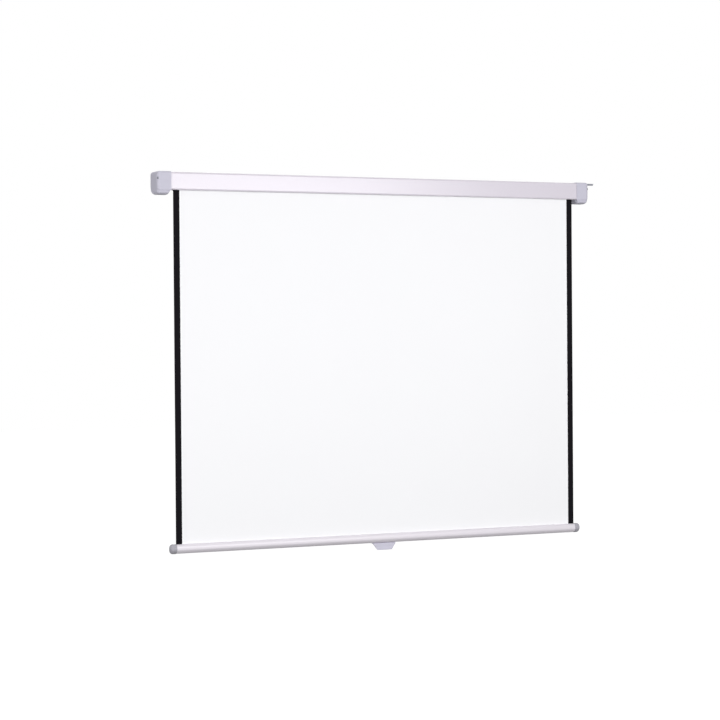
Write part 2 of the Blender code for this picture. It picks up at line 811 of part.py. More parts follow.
def roller_tube():
    outer = tube_outline(ROLLER_RADIUS, KEYWAY_WIDTH / 2, KEYWAY_FLOOR)
    inner = tube_outline(TUBE_BORE, KEYWAY_WIDTH / 2 + ROLLER_WALL, KEYWAY_FLOOR - ROLLER_WALL)
    return prism("roller_tube", [outer, inner], -TUBE_END, TUBE_END, GALVANISED, (AXIS_Y, 0.0))


def keyway_cutter(name, x_from, x_to):
    """Clears the pressed keyway from a plug that sits in the tube."""
    half = KEYWAY_WIDTH / 2 + ROLLER_WALL + GAP
    floor = KEYWAY_FLOOR - ROLLER_WALL - GAP
    x0, x1 = min(x_from, x_to), max(x_from, x_to)
    return box(name, (x0, AXIS_Y - half, floor), (x1, AXIS_Y + half, ROLLER_RADIUS))


def fabric_key():
    half = KEYWAY_WIDTH / 2 - GAP
    low, high = KEYWAY_FLOOR + GAP, sqrt(ROLLER_RADIUS**2 - half**2) - 0.0001
    outline = [(-half, low), (half, low), (half, high), (-half, high)]
    return prism("fabric_key", [outline], -HALF_FABRIC, HALF_FABRIC, BLACK_NYLON, (AXIS_Y, 0.0))


def wound_fabric():
    inner, outer = ROLLER_RADIUS + GAP, WRAPS_RADIUS
    profile = [(inner, HALF_FABRIC), (outer, HALF_FABRIC), (outer, -HALF_FABRIC), (inner, -HALF_FABRIC)]
    return on_axis("wound_fabric", profile, 1, MATT_WHITE_FABRIC, 44)


def left_hub():
    """Plug, spring nose and pawl cup in one moulding."""
    profile = [
        (CUP_BORE, CUP_FLOOR_AT),
        (CUP_BORE, CUP_END),
        (CUP_RADIUS, CUP_END),
        (CUP_RADIUS, FLANGE_START),
        (PLUG_RADIUS, FLANGE_START),
        (PLUG_RADIUS, PLUG_START),
        (NOSE_RADIUS, PLUG_START),
        (NOSE_RADIUS, NOSE_START),
        (SPINDLE_BORE, NOSE_START),
        (SPINDLE_BORE, CUP_FLOOR_AT),
    ]
    hub = on_axis("left_hub", profile, -1, BLACK_NYLON, 40)
    cut(hub, keyway_cutter("left_hub_keyway", -PLUG_START + 0.001, -FLANGE_START))
    for name, y, z in pawl_pivots():
        pin_hole = rod(
            name + "_pin_hole",
            PIN_RADIUS + GAP,
            (-(CUP_FLOOR_AT - 0.003), y, z),
            (-(CUP_FLOOR_AT + 0.002), y, z),
            segments=20,
        )
        cut(hub, pin_hole)
    return hub


def pawl_cover():
    spigot = CUP_BORE - GAP
    start = CUP_END + GAP
    profile = [
        (0.0065, COVER_END),
        (CUP_RADIUS, COVER_END),
        (CUP_RADIUS, start),
        (spigot, start),
        (spigot, start - 0.0012),
        (spigot - 0.0012, start - 0.0012),
        (spigot - 0.0012, start),
        (0.0065, start),
    ]
    return on_axis("pawl_cover", profile, -1, ZINC_STEEL, 40)


def steady_bush():
    """Centres the spindle's inner end in the tube and turns with the tube."""
    start = STEADY_END - STEADY_LENGTH
    profile = [
        (SPINDLE_BORE, STEADY_END),
        (PLUG_RADIUS, STEADY_END),
        (PLUG_RADIUS, start),
        (SPINDLE_BORE, start),
    ]
    bush = on_axis("steady_bush", profile, -1, NYLON)
    cut(bush, keyway_cutter("steady_keyway", -start + 0.001, -STEADY_END - 0.001))
    return bush


def right_hub():
    flange_end = FLANGE_START + 0.003
    profile = [
        (BUSH_RADIUS + GAP, flange_end),
        (ROLLER_RADIUS + 0.0012, flange_end),
        (ROLLER_RADIUS + 0.0012, FLANGE_START),
        (PLUG_RADIUS, FLANGE_START),
        (PLUG_RADIUS, PLUG_START),
        (BUSH_RADIUS + GAP, PLUG_START),
    ]
    hub = on_axis("right_hub", profile, 1, BLACK_NYLON, 40)
    cut(hub, keyway_cutter("right_hub_keyway", PLUG_START - 0.001, FLANGE_START))
    return hub


def right_bush():
    """Flanged plain bearing pressed into the right hub."""
    flange_start = FLANGE_START + 0.003 + GAP
    profile = [
        (JOURNAL_RADIUS + GAP, flange_start + 0.0015),
        (0.0105, flange_start + 0.0015),
        (0.0105, flange_start),
        (BUSH_RADIUS, flange_start),
        (BUSH_RADIUS, flange_start - BUSH_LENGTH),
        (JOURNAL_RADIUS + GAP, flange_start - BUSH_LENGTH),
    ]
    return on_axis("right_bush", profile, 1, NYLON, 28)


def idle_pin():
    collar_end = PLATE_INNER - GAP
    profile = [
        (0.0, PLATE_OUTER + 0.005),
        (SHANK_RADIUS - 0.0006, PLATE_OUTER + 0.005),
        (SHANK_RADIUS, PLATE_OUTER + 0.0044),
        (SHANK_RADIUS, collar_end),
        (0.0090, collar_end),
        (0.0090, collar_end - 0.0030),
        (JOURNAL_RADIUS, collar_end - 0.0030),
        (JOURNAL_RADIUS, PLUG_START + 0.0060),
        (JOURNAL_RADIUS - 0.001, PLUG_START + 0.0050),
        (0.0, PLUG_START + 0.0050),
    ]
    return on_axis("idle_pin", profile, 1, ZINC_STEEL, 28)


def retaining_clip(name, side, bore, start):
    """A spring clip, open at its lower side."""
    opening = radians(38)
    outer = arc((0, 0), CLIP_RADIUS, -pi / 2 + opening, 3 * pi / 2 - opening, 22)
    inner = arc((0, 0), bore, 3 * pi / 2 - opening, -pi / 2 + opening, 22)
    x0 = side * start
    return prism(name, [outer + inner], x0, x0 + side * 0.0010, SPRING_STEEL, (AXIS_Y, 0.0))


# Spring motor


def spindle():
    profile = [
        (0.0, SPINDLE_OUTER),
        (SPINDLE_RADIUS - 0.0008, SPINDLE_OUTER),
        (SPINDLE_RADIUS, SPINDLE_OUTER - 0.0008),
        (SPINDLE_RADIUS, SPINDLE_INNER + 0.0008),
        (SPINDLE_RADIUS - 0.0008, SPINDLE_INNER),
        (0.0, SPINDLE_INNER),
    ]
    bar = on_axis("spindle", profile, -1, ZINC_STEEL, 32)
    flat_start = RATCHET_START - 0.0005
    for name, sign in (("front", -1), ("back", 1)):
        face = AXIS_Y + sign * SPINDLE_FLATS / 2
        away = face + sign * 0.004
        low = (-SPINDLE_OUTER - 0.002, min(face, away), -0.01)
        high = (-flat_start, max(face, away), 0.01)
        cut(bar, box(f"spindle_{name}_flat", low, high))
    return bar


def spindle_spacer():
    profile = [
        (SPINDLE_BORE, PLATE_INNER - GAP),
        (0.0080, PLATE_INNER - GAP),
        (0.0080, COVER_END + GAP),
        (SPINDLE_BORE, COVER_END + GAP),
    ]
    return on_axis("spindle_spacer", profile, -1, NYLON, 28)


def spring_collar():
    """Fixed on the spindle; the spring's inner end is gripped on its nose."""
    nose_end = COLLAR_START + NOSE_LENGTH
    flange_start = COLLAR_START - COLLAR_FLANGE_LENGTH
    profile = [
        (SPINDLE_BORE, nose_end),
        (NOSE_RADIUS, nose_end),
        (NOSE_RADIUS, COLLAR_START),
        (COLLAR_FLANGE, COLLAR_START),
        (COLLAR_FLANGE, flange_start),
        (SPINDLE_BORE, flange_start),
    ]
    return on_axis("spring_collar", profile, -1, BLACK_NYLON, 28)


def helix_points():
    count = SPRING_CURLS * CURL_POINTS
    return [
        Vector(
            (
                -SPRING_OUTER_END + SPRING_LENGTH * i / count,
                SPRING_RADIUS * cos(2 * pi * i / CURL_POINTS),
                SPRING_RADIUS * sin(2 * pi * i / CURL_POINTS),
            )
        )
        for i in range(count + 1)
    ]


def least_gap(points):
    """Least distance between points at least half a curl apart, less the wire."""
    apart = CURL_POINTS // 2
    reach = 2 * CURL_POINTS
    return min(
        (points[i] - points[j]).length - SPRING_WIRE
        for i in range(len(points))
        for j in range(i + apart, min(i + reach, len(points)))
    )


def torsion_spring():
    points = helix_points()
    print(f"torsion spring: least gap to itself {least_gap(points) * 1000:.2f} mm")
    curve = bpy.data.curves.new("torsion_spring", "CURVE")
    curve.dimensions = "3D"
    curve.bevel_depth = SPRING_WIRE / 2
    curve.bevel_resolution = 1
    curve.use_fill_caps = True
    spline = curve.splines.new("POLY")
    spline.points.add(len(points) - 1)
    for point, place_at in zip(spline.points, points):
        point.co = (*place_at, 1.0)
    curve.materials.append(SPRING_STEEL)
    spring = bpy.data.objects.new("torsion_spring", curve)
    spring.location = AXIS
    PARTS.objects.link(spring)
    return spring


# Ratchet and pawls


def pawl_angles():
    """Angle at the pivot between the axis and the nose, engaged and lifted clear."""

    def at_pivot(nose_radius):
        return acos(
            (PIVOT_RADIUS**2 + PAWL_LENGTH**2 - nose_radius**2) / (2 * PIVOT_RADIUS * PAWL_LENGTH)
        )

    return at_pivot(RATCHET_RADIUS - NOTCH_DEPTH + NOTCH_GAP), at_pivot(RATCHET_RADIUS + PAWL_LIFT)


def pawl_pivots():
    """The two pivots, opposite each other on the hub."""
    return [
        (name, AXIS_Y + PIVOT_RADIUS * cos(angle), PIVOT_RADIUS * sin(angle))
        for name, angle in (("pawl_upper", PIVOT_ANGLE), ("pawl_lower", PIVOT_ANGLE + pi))
    ]


def turn_outline(points, angle, centre=(0.0, 0.0)):
    c, s = cos(angle), sin(angle)
    return [(centre[0] + c * y - s * z, centre[1] + s * y + c * z) for y, z in points]


def ratchet_wheel():
    """A disc with notches whose ramps run along the engaged pawl's inner edge."""
    engaged, _ = pawl_angles()
    pivot = (PIVOT_RADIUS * cos(PIVOT_ANGLE), PIVOT_RADIUS * sin(PIVOT_ANGLE))
    lie = PIVOT_ANGLE - pi + engaged
    tip_u, floor_v = PAWL_LENGTH + NOTCH_GAP, -NOTCH_GAP
    wedge = [(PAWL_LENGTH * 0.2, floor_v), (tip_u, floor_v), (tip_u, 0.010), (PAWL_LENGTH * 0.2, 0.010)]
    wheel = prism(
        "ratchet_wheel",
        [arc((0, 0), RATCHET_RADIUS, 0, 2 * pi * 47 / 48, 47), double_flat(SPINDLE_BORE, SPINDLE_FLATS + 2 * GAP)],
        -RATCHET_START,
        -(RATCHET_START + RATCHET_WIDTH),
        SPRING_STEEL,
        (AXIS_Y, 0.0),
    )
    for notch in range(NOTCHES):
        outline = turn_outline(turn_outline(wedge, lie, pivot), 2 * pi * notch / NOTCHES)
        cutter = prism(
            f"ratchet_notch_{notch}",
            [outline],
            -RATCHET_START + 0.001,
            -(RATCHET_START + RATCHET_WIDTH) - 0.001,
            centre=(AXIS_Y, 0.0),
        )
        cut(wheel, cutter)
    return wheel


def pawl(name, pivot_angle, y, z):
    """An eye and a tapering arm whose square nose drops into a notch."""
    _, lifted = pawl_angles()
    lie = pivot_angle - pi + lifted
    eye = arc((0, 0), PAWL_EYE, radians(80), radians(310), 14)
    arm = [
        (PAWL_LENGTH * 0.33, 0.0),
        (PAWL_LENGTH, 0.0),
        (PAWL_LENGTH, 0.0022),
        (PAWL_LENGTH - 0.0011, 0.0033),
        (PAWL_LENGTH - 0.0035, 0.0037),
        (PAWL_LENGTH * 0.45, 0.0036),
    ]
    outline = turn_outline(eye + arm, lie)
    hole = arc((0, 0), PIN_RADIUS + GAP, 0, 2 * pi * 15 / 16, 15)
    return prism(name, [outline, hole], -PAWL_START, -(PAWL_START + PAWL_WIDTH), SPRING_STEEL, (y, z))


def pawl_pin(name, y, z):
    head_start = PAWL_START + PAWL_WIDTH + GAP
    profile = [
        (0.0, head_start + 0.0016),
        (PIN_HEAD - 0.0005, head_start + 0.0016),
        (PIN_HEAD, head_start + 0.0011),
        (PIN_HEAD, head_start),
        (PIN_RADIUS, head_start),
        (PIN_RADIUS, CUP_FLOOR_AT - 0.003 + GAP),
        (0.0, CUP_FLOOR_AT - 0.003 + GAP),
    ]
    return turned(name, profile, (0.0, y, z), (-1, 0, 0), ZINC_STEEL, 18)


# Fabric and bottom bar


def screen_fabric():
    low = (-HALF_FABRIC, FABRIC_FRONT, FABRIC_LOWER_END)
    high = (HALF_FABRIC, FABRIC_BACK, 0.0)
    return box("screen_fabric", low, high, MATT_WHITE_FABRIC)


def keyhole(radius, half_neck, top, steps=18):
    """A round pocket with a neck that opens upwards."""
    tilt = acos(half_neck / radius)
    return arc((0, 0), radius, pi - tilt, 2 * pi + tilt, steps) + [(half_neck, top), (-half_neck, top)]


def slat_profile():
    """Extruded tube with a beaded pocket along its top."""
    half_depth, half_height = BAR_DEPTH / 2, BAR_HEIGHT / 2
    end, beyond = HALF_FABRIC, HALF_FABRIC + 0.01
    outline, centre = bar_outline(half_depth, half_height), (BAR_Y, BAR_MIDDLE)
    bar = prism("slat_profile", [outline], -end, end, WHITE_ALUMINIUM, centre)
    hollow = prism(
        "slat_hollow",
        [bar_outline(half_depth - BAR_WALL, half_height - BAR_WALL)],
        -beyond,
        beyond,
        centre=centre,
    )
    pocket_wall = prism(
        "slat_pocket_wall",
        [keyhole(POCKET_RADIUS + POCKET_WALL, POCKET_NECK / 2 + POCKET_WALL, POCKET_BELOW_TOP)],
        -beyond - 0.01,
        beyond + 0.01,
        centre=(BAR_Y, POCKET_Z),
    )
    pocket = prism(
        "slat_pocket",
        [keyhole(POCKET_RADIUS, POCKET_NECK / 2, POCKET_BELOW_TOP + 0.002)],
        -beyond,
        beyond,
        centre=(BAR_Y, POCKET_Z),
    )
    cut(hollow, pocket_wall)
    cut(bar, hollow, pocket)
    for name, x, y in handle_screw_places():
        cut(bar, rod(name + "_bar_hole", 0.0018, (x, y, BAR_BOTTOM - 0.005), (x, y, BAR_BOTTOM + 0.006)))
    return bar


def hem_bead():
    """Holds the fabric's lower edge inside the pocket."""
    half = FABRIC_THICKNESS / 2 + GAP
    tilt = acos(half / BEAD_RADIUS)
    outline = arc((0, 0), BEAD_RADIUS, pi - tilt, 2 * pi + tilt, 18)
    floor = BEAD_RADIUS - BEAD_SLOT
    outline += [(half, floor), (-half, floor)]
    return prism("hem_bead", [outline], -HALF_FABRIC, HALF_FABRIC, BLACK_NYLON, (BAR_Y, POCKET_Z))


def slat_plug(name, side):
    """Round-ended plug with a stub in the bar's hollow."""
    start = HALF_FABRIC + GAP
    half_depth, half_height = BAR_DEPTH / 2 + PLUG_PROUD, BAR_HEIGHT / 2 + PLUG_PROUD
    rounding = min(PLUG_ROUNDING, half_depth - 0.001)
    steps = 6
    stations = [(start, 0.0)]
    for i in range(steps + 1):
        t = pi / 2 * i / steps
        stations.append((start + PLUG_REACH - rounding * (1 - sin(t)), rounding * (1 - cos(t))))
    sections = []
    for x, inset in stations:
        outline = reversed(bar_outline(half_depth - inset, half_height - inset, 32))
        sections.append([(x, BAR_Y + y, BAR_MIDDLE + z) for y, z in outline])
    plug = loft(name, sections, side, DARK_GREY_PLASTIC, ring=True, close_first=True, close_last=True)
    clearance = BAR_WALL + 2 * GAP
    stub_top = POCKET_Z - POCKET_RADIUS - POCKET_WALL - GAP - BAR_MIDDLE
    outline = bar_outline(BAR_DEPTH / 2 - clearance, BAR_HEIGHT / 2 - clearance, 28)
    stub = prism(
        name + "_stub",
        [[(y, min(z, stub_top)) for y, z in outline]],
        side * (HALF_FABRIC - STUB_LENGTH),
        side * (start + 0.002),
        centre=(BAR_Y, BAR_MIDDLE),
    )
    join(plug, stub)
    return plug


# Pull handle


def handle_screw_places():
    y = BAR_Y + 0.0040
    half = HANDLE_SCREW_SPACING / 2
    return (("left_handle_screw", -half, y), ("right_handle_screw", half, y))


def handle_path():
    """The handle's middle surface from the side: along the bar's underside, down, then out to a lip."""
    lift = GAP + HANDLE_THICKNESS / 2
    outline = bar_outline(BAR_DEPTH / 2 + lift, BAR_HEIGHT / 2 + lift, 72)
    under = [(BAR_Y + y, BAR_MIDDLE + z) for y, z in outline[58:54:-1]]
    end_z = BAR_BOTTOM - HANDLE_HEIGHT
    root_y = BAR_Y - 0.0045
    hanging = rounded_path(
        [
            (*under[-1], 0.0),
            (root_y, under[-1][1] - 0.0006, 0.0030),
            (root_y - 0.0010, end_z + 0.0100, 0.0120),
            (root_y - HANDLE_LIP * 0.45, end_z + HANDLE_THICKNESS / 2, 0.0040),
            (root_y - HANDLE_LIP, end_z + HANDLE_THICKNESS / 2 + 0.0015, 0.0),
        ],
        4,
    )
    return under + hanging[1:]


def pull_handle():
    """A moulded tongue, widest at the bar and tapering to a forward lip with round corners."""
    path = handle_path()
    bar_line = BAR_BOTTOM - GAP - HANDLE_THICKNESS
    end_z = min(z for _, z in path)
    columns = 14
    lengths = [0.0]
    for (y0, z0), (y1, z1) in zip(path, path[1:]):
        lengths.append(lengths[-1] + sqrt((y1 - y0) ** 2 + (z1 - z0) ** 2))
    corner = 0.010
    rows = []
    for (y, z), length in zip(path, lengths):
        share = min(max((bar_line - z) / (bar_line - end_z), 0.0), 1.0)
        half = (HANDLE_WIDTH + (HANDLE_END_WIDTH - HANDLE_WIDTH) * share) / 2
        left_over = lengths[-1] - length
        if left_over < corner:
            half -= corner - sqrt(corner**2 - (corner - left_over) ** 2)
        rows.append([(half * (2 * i / columns - 1), y, z) for i in range(columns + 1)])
    handle = loft("pull_handle", rows, 1, GREY_PLASTIC)
    solidify(handle, HANDLE_THICKNESS, 0.0)
    bevel(handle, 0.0008, 2, 50)
    for name, x, y in handle_screw_places():
        top, bottom = BAR_BOTTOM + 0.006, BAR_BOTTOM - 0.010
        cut(handle, rod(name + "_handle_hole", 0.0018, (x, y, bottom), (x, y, top)))
    return handle


def handle_screw(name, x, y):
    """Driven up through the handle's root into the bar."""
    head = BAR_BOTTOM - 2 * GAP - HANDLE_THICKNESS
    profile = [
        (0.0, head - BAR_BOTTOM + 0.0110),
        (0.0015, head - BAR_BOTTOM + 0.0095),
        (0.0015, 0.0),
        (0.0032, 0.0),
        (0.0028, -0.0013),
        (0.0014, -0.0018),
        (0.0, -0.0018),
    ]
    return turned(name, profile, (x, y, head), (0, 0, 1), ZINC_STEEL, 16)


# Assembly


def build():
    case_shell()
    left_bracket()
    right_bracket()
    for side_name, side in SIDES:
        end_cap(side_name + "_end_cap", side)
        cap_screw(side_name + "_cap_screw", side)
        for level, z in rivet_levels():
            rivet(f"{side_name}_{level}_rivet", side, z)

    spindle()
    spindle_spacer()
    retaining_clip("spindle_clip", -1, SPINDLE_BORE, PLATE_OUTER + GAP)
    ratchet_wheel()
    spring_collar()
    torsion_spring()
    idle_pin()
    retaining_clip("idle_pin_clip", 1, SHANK_RADIUS + GAP, PLATE_OUTER + GAP)
    screen_fabric()

    turning = [roller_tube(), fabric_key(), wound_fabric(), left_hub(), pawl_cover()]
    turning += [steady_bush(), right_hub(), right_bush()]
    for name, y, z in pawl_pivots():
        turning.append(pawl_pin(name.replace("pawl", "pawl_pin"), y, z))
    carry(axis_empty("roller_axis", AXIS), *turning)
    for (name, y, z), angle in zip(pawl_pivots(), (PIVOT_ANGLE, PIVOT_ANGLE + pi)):
        pawl(name, angle, y, z)

    lifting = [slat_profile(), hem_bead(), slat_plug("slat_left_plug", -1), slat_plug("slat_right_plug", 1)]
    lifting.append(pull_handle())
    lifting += [handle_screw(name, x, y) for name, x, y in handle_screw_places()]
    carry(axis_empty("bar_travel", (0.0, BAR_Y, BAR_TOP)), *lifting)

    engaged, lifted = pawl_angles()
    print(f"roller axis y {AXIS_Y:.5f}, pawl pivots {[(round(y, 5), round(z, 5)) for _, y, z in pawl_pivots()]}")
    print(f"pawl swings in by {degrees(lifted - engaged):.2f} degrees to engage")


build()
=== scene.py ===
import json
from math import acos, atan2, copysign, cos, hypot, pi, radians, sin, sqrt

import bmesh
import bpy
from bpy.props import FloatProperty, FloatVectorProperty, IntProperty, PointerProperty
from bpy.types import Node, NodeSocket, Operator, Panel, PropertyGroup
from mathutils import Matrix, Vector


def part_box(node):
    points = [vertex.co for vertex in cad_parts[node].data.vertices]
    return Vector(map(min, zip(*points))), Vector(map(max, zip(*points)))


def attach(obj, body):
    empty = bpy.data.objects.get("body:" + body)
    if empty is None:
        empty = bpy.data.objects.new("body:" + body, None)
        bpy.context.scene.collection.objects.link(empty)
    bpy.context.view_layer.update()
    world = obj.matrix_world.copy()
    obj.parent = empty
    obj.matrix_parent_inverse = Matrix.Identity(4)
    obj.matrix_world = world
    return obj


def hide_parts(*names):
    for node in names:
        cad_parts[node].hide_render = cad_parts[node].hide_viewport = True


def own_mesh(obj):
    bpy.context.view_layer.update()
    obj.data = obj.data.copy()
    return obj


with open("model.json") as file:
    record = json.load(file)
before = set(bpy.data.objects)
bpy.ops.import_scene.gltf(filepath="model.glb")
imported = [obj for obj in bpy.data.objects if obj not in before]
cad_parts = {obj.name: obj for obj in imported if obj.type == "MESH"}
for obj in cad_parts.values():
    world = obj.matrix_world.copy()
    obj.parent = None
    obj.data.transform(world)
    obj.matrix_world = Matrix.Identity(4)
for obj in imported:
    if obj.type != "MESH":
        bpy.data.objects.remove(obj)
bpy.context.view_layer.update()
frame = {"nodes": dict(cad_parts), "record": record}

bl_info = {
    "name": "Pull-down projector screen",
    "version": (1, 0, 0),
    "blender": (4, 5, 0),
    "location": "3D View > Sidebar > Projector Screen",
    "description": "Builds and finishes a pull-down projector screen round its CAD frame",
    "category": "Add Mesh",
}

# Places that the CAD frame gives, in metres
CASE_LOW, CASE_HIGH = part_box("case_shell")
CAP_LOW, CAP_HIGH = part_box("right_end_cap")
CAP_RIM, CAP_END = CAP_LOW.x, CAP_HIGH.x
ROLL_LOW, ROLL_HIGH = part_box("wound_fabric")
AXIS_Y = (ROLL_LOW.y + ROLL_HIGH.y) / 2
SHEET_LOW, SHEET_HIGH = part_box("screen_fabric")
SHEET_THICKNESS = SHEET_HIGH.y - SHEET_LOW.y
HALF_FABRIC = SHEET_HIGH.x
BAR_LOW, BAR_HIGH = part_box("slat_profile")
BAR_Y = (BAR_LOW.y + BAR_HIGH.y) / 2
BAR_HEIGHT = 0.037
BAR_MIDDLE = BAR_LOW.z + BAR_HEIGHT / 2
HALF_DEPTH, HALF_HEIGHT = (BAR_HIGH.y - BAR_LOW.y) / 2, BAR_HEIGHT / 2
SCREW_LOW, SCREW_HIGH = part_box("left_handle_screw")
SCREW_Y = (SCREW_LOW.y + SCREW_HIGH.y) / 2
SPRING_LOW, SPRING_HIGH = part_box("torsion_spring")
SIDES = (("left", -1), ("right", 1))

# Sizes that the frame's boxes don't give, in metres
GAP = 0.0003
SHEET_METAL = 0.0010
CASE_FRONT_CORNER = 0.0070
CASE_BACK_CORNER = 0.0030
SLOT_FRONT = SHEET_LOW.y - 0.0090
SLOT_BACK = SHEET_LOW.y + 0.0130
LIP_HEIGHT = 0.0050
LIP_BEND = 0.0015
RIVET_X, RIVET_Z = 0.916, 0.016
RIVET_SEAT_Y = -0.0036
CAP_WALL = 0.0022
CAP_CORNER = 0.0090
CAP_LEAST_CORNER = CAP_WALL + 0.0013
CAP_END_RADIUS = 0.0130
CAP_RIM_BAND = 0.0030
CAP_SHELF_Z = CASE_LOW.z - 0.0025
CAP_LOWER_EDGE = 0.0030
BELLY_DEPTH = CAP_SHELF_Z - CAP_LOW.z
BELLY_RISE = 0.0080
BELLY_FULLNESS = 3.2
BELLY_SETBACK = 0.0015
BELLY_BACK = -0.0020
CAP_SCREW_Z = 0.0100
CAP_SCREW_DEPTH = 0.0005
SEAT_DEPTH = 0.0008
SEAT_RADIUS = 0.0052
HOLE_RADIUS = 0.0021
RIB_THICKNESS = 0.0015
STOP_RIB_REACH = 0.0025
END_RIB_DEPTH = 0.0038
END_RIB_SPACING = 0.0180
EAR_FRONT = -0.0575
EAR_WIDTH = 0.040
EAR_THICKNESS = 0.002
EAR_LIP = 0.008
WRAPS_THICKNESS = 0.0011
WRAPS = 2.0
BAR_WALL = 0.0014
BAR_FULLNESS = 2.6
BAR_KEEL = 0.0155
KEEL_FULLNESS = 1.4
POCKET_RADIUS = 0.0032
POCKET_WALL = 0.0013
POCKET_NECK = 0.0022
POCKET_BELOW_TOP = 0.0066
PLUG_PROUD = 0.0008
PLUG_ROUNDING = 0.0130
PLUG_EDGE = 0.0006
STUB_LENGTH = 0.018
HANDLE_THICKNESS = 0.0030
HANDLE_HEIGHT = 0.029
HANDLE_LIP = 0.011
HANDLE_HALF_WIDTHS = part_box("pull_handle")[1].x, 0.034
HANDLE_CORNER = 0.010
HANDLE_ROOT_Y = BAR_Y - 0.0045
HANDLE_SCREW_X = 0.030
HANDLE_HOLE_RADIUS = 0.0018
HANDLE_SCREW_HEAD = 0.0018
SPRING_WIRE_RADIUS = 0.0009
SPRING_CURLS = 32.0


def linear(hex_colour):
    """An sRGB hex colour as linear red, green and blue."""
    channels = [int(hex_colour[i : i + 2], 16) / 255 for i in (1, 3, 5)]
    return tuple(c / 12.92 if c <= 0.04045 else ((c + 0.055) / 1.055) ** 2.4 for c in channels)


def colour_property(name, description, hex_colour):
    settings = {"subtype": "COLOR", "size": 3, "min": 0, "max": 1}
    return FloatVectorProperty(name=name, description=description, default=linear(hex_colour), **settings)


def length_property(name, description, default, low, high):
    settings = {"subtype": "DISTANCE", "unit": "LENGTH", "precision": 4, "min": low, "max": high}
    return FloatProperty(name=name, description=description, default=default, **settings)


def power_property(name, default):
    description = f"Power of the {name.lower()}"
    return FloatProperty(name=name, description=description, default=default, min=0, unit="POWER")


class CaseSettings(PropertyGroup):
    """The painted case and its moulded end caps."""

    paint: colour_property("Paint", "Powder coat of the case", "#D3CDD7")
    cap_plastic: colour_property("Cap plastic", "Moulded plastic of the caps and handle", "#C3C1CF")
    plug_plastic: colour_property("Plug plastic", "Moulded plastic of the bar's plugs", "#A5A3AB")
    peel: length_property("Orange peel", "Distance between bumps in the powder coat", 0.0022, 0.0005, 0.01)
    grain: length_property("Plastic grain", "Distance between grains of the skin", 0.0009, 0.0003, 0.005)
    corner_steps: IntProperty(name="Corner steps", description="Facets in a corner", default=12, min=3)


class FabricSettings(PropertyGroup):
    """The projection fabric."""

    face: colour_property("Face", "Matt white viewing face", "#F6F6F8")
    border: colour_property("Border", "Printed border", "#141216")
    back: colour_property("Back", "Light-tight coating on the back", "#19191B")
    border_width: length_property("Border width", "Width of the border down each side", 0.026, 0.0, 0.2)
    thread_pitch: length_property("Thread pitch", "Distance between threads", 0.0016, 0.0004, 0.01)
    wave_height: length_property("Wave height", "How far the fabric strays from flat", 0.0007, 0.0, 0.005)


class MetalSettings(PropertyGroup):
    """The plated and the painted metal pieces."""

    # Painted shade: the zinc is drawn much darker than real zinc plating, so that the right bracket's ear
    # and lip read as dark as a shaded underside. The same dark zinc goes on every plated piece.
    zinc: colour_property("Zinc", "Passivated zinc plating", "#76777C")
    steel: colour_property("Spring steel", "Oiled spring steel", "#6A6B70")
    galvanised: colour_property("Galvanised", "Hot-dip galvanised tube", "#B9BCC0")
    bar_paint: colour_property("Bar paint", "Paint of the bottom bar", "#DCD7DE")


class StageSettings(PropertyGroup):
    """Floor and light."""

    floor_height: length_property("Floor height", "Height of the floor under the screen", -2.4, -5.0, -1.5)
    key_power: power_property("Front light", 88)
    gloss_power: power_property("Light that the case mirrors", 128)
    side_power: power_property("Left light", 54)
    back_power: power_property("Light behind", 90)
    top_power: power_property("Light above", 40)
    sky: FloatProperty(name="Room light", description="Strength of the even light", default=0.30, min=0)


class ProjectorScreenSettings(PropertyGroup):
    """Everything that a user would change."""

    case: PointerProperty(type=CaseSettings)
    fabric: PointerProperty(type=FabricSettings)
    metal: PointerProperty(type=MetalSettings)
    stage: PointerProperty(type=StageSettings)


# Nodes


def fill(tree, node, inputs):
    """Fills a node's inputs; each is a value, a socket, or a node that gives its first output."""
    for key, value in inputs.items():
        if isinstance(value, Node):
            value = value.outputs[0]
        if isinstance(value, NodeSocket):
            tree.links.new(value, node.inputs[key])
        else:
            node.inputs[key].default_value = value


def add(tree, kind, inputs=None, **settings):
    """Adds a node with its settings and inputs."""
    made = tree.nodes.new(kind)
    for name, value in settings.items():
        setattr(made, name, value)
    fill(tree, made, inputs or {})
    return made


# Materials: each draws its nodes and gives the inputs of the shader. Sizes are in metres, and threads,
# plastic grain and roller lines are drawn about three times as coarse as the real ones, to show.


def new_material(name, draw, *values):
    material = bpy.data.materials.new(name)
    material.use_nodes = True
    tree = material.node_tree
    where = add(tree, "ShaderNodeTexCoord").outputs["Object"]
    fill(tree, tree.nodes["Principled BSDF"], draw(tree, where, *values))
    return material


def shade(colour, factor=1.0):
    """A colour made lighter or darker, with its alpha."""
    return (*(min(1.0, c * factor) for c in colour), 1.0)


def drifting(tree, where, size, detail, one, other):
    """A colour that drifts between two shades, in clouds size metres across."""
    cloud = add(tree, "ShaderNodeTexNoise", {"Vector": where, "Scale": 1 / size, "Detail": detail})
    return add(tree, "ShaderNodeMix", {0: cloud, 6: one, 7: other}, data_type="RGBA").outputs[2]


def grained(tree, grain, low, high, depth, strength):
    """Roughness from low to high and bumps, both from one pattern."""
    return {
        "Roughness": add(tree, "ShaderNodeMapRange", {"Value": grain, "To Min": low, "To Max": high}),
        "Normal": add(tree, "ShaderNodeBump", {"Height": grain, "Distance": depth, "Strength": strength}),
    }


def powder_coat(tree, where, settings):
    """Polyester powder coat on steel: satin, with a fine orange peel that softens every highlight."""
    peel = add(tree, "ShaderNodeTexNoise", {"Vector": where, "Scale": 1 / settings.peel})
    return {
        "Base Color": drifting(tree, where, 0.25, 1.0, shade(settings.paint, 0.985), shade(settings.paint)),
        "IOR": 1.50,
        **grained(tree, peel, 0.22, 0.32, settings.peel * 0.03, 0.5),
    }


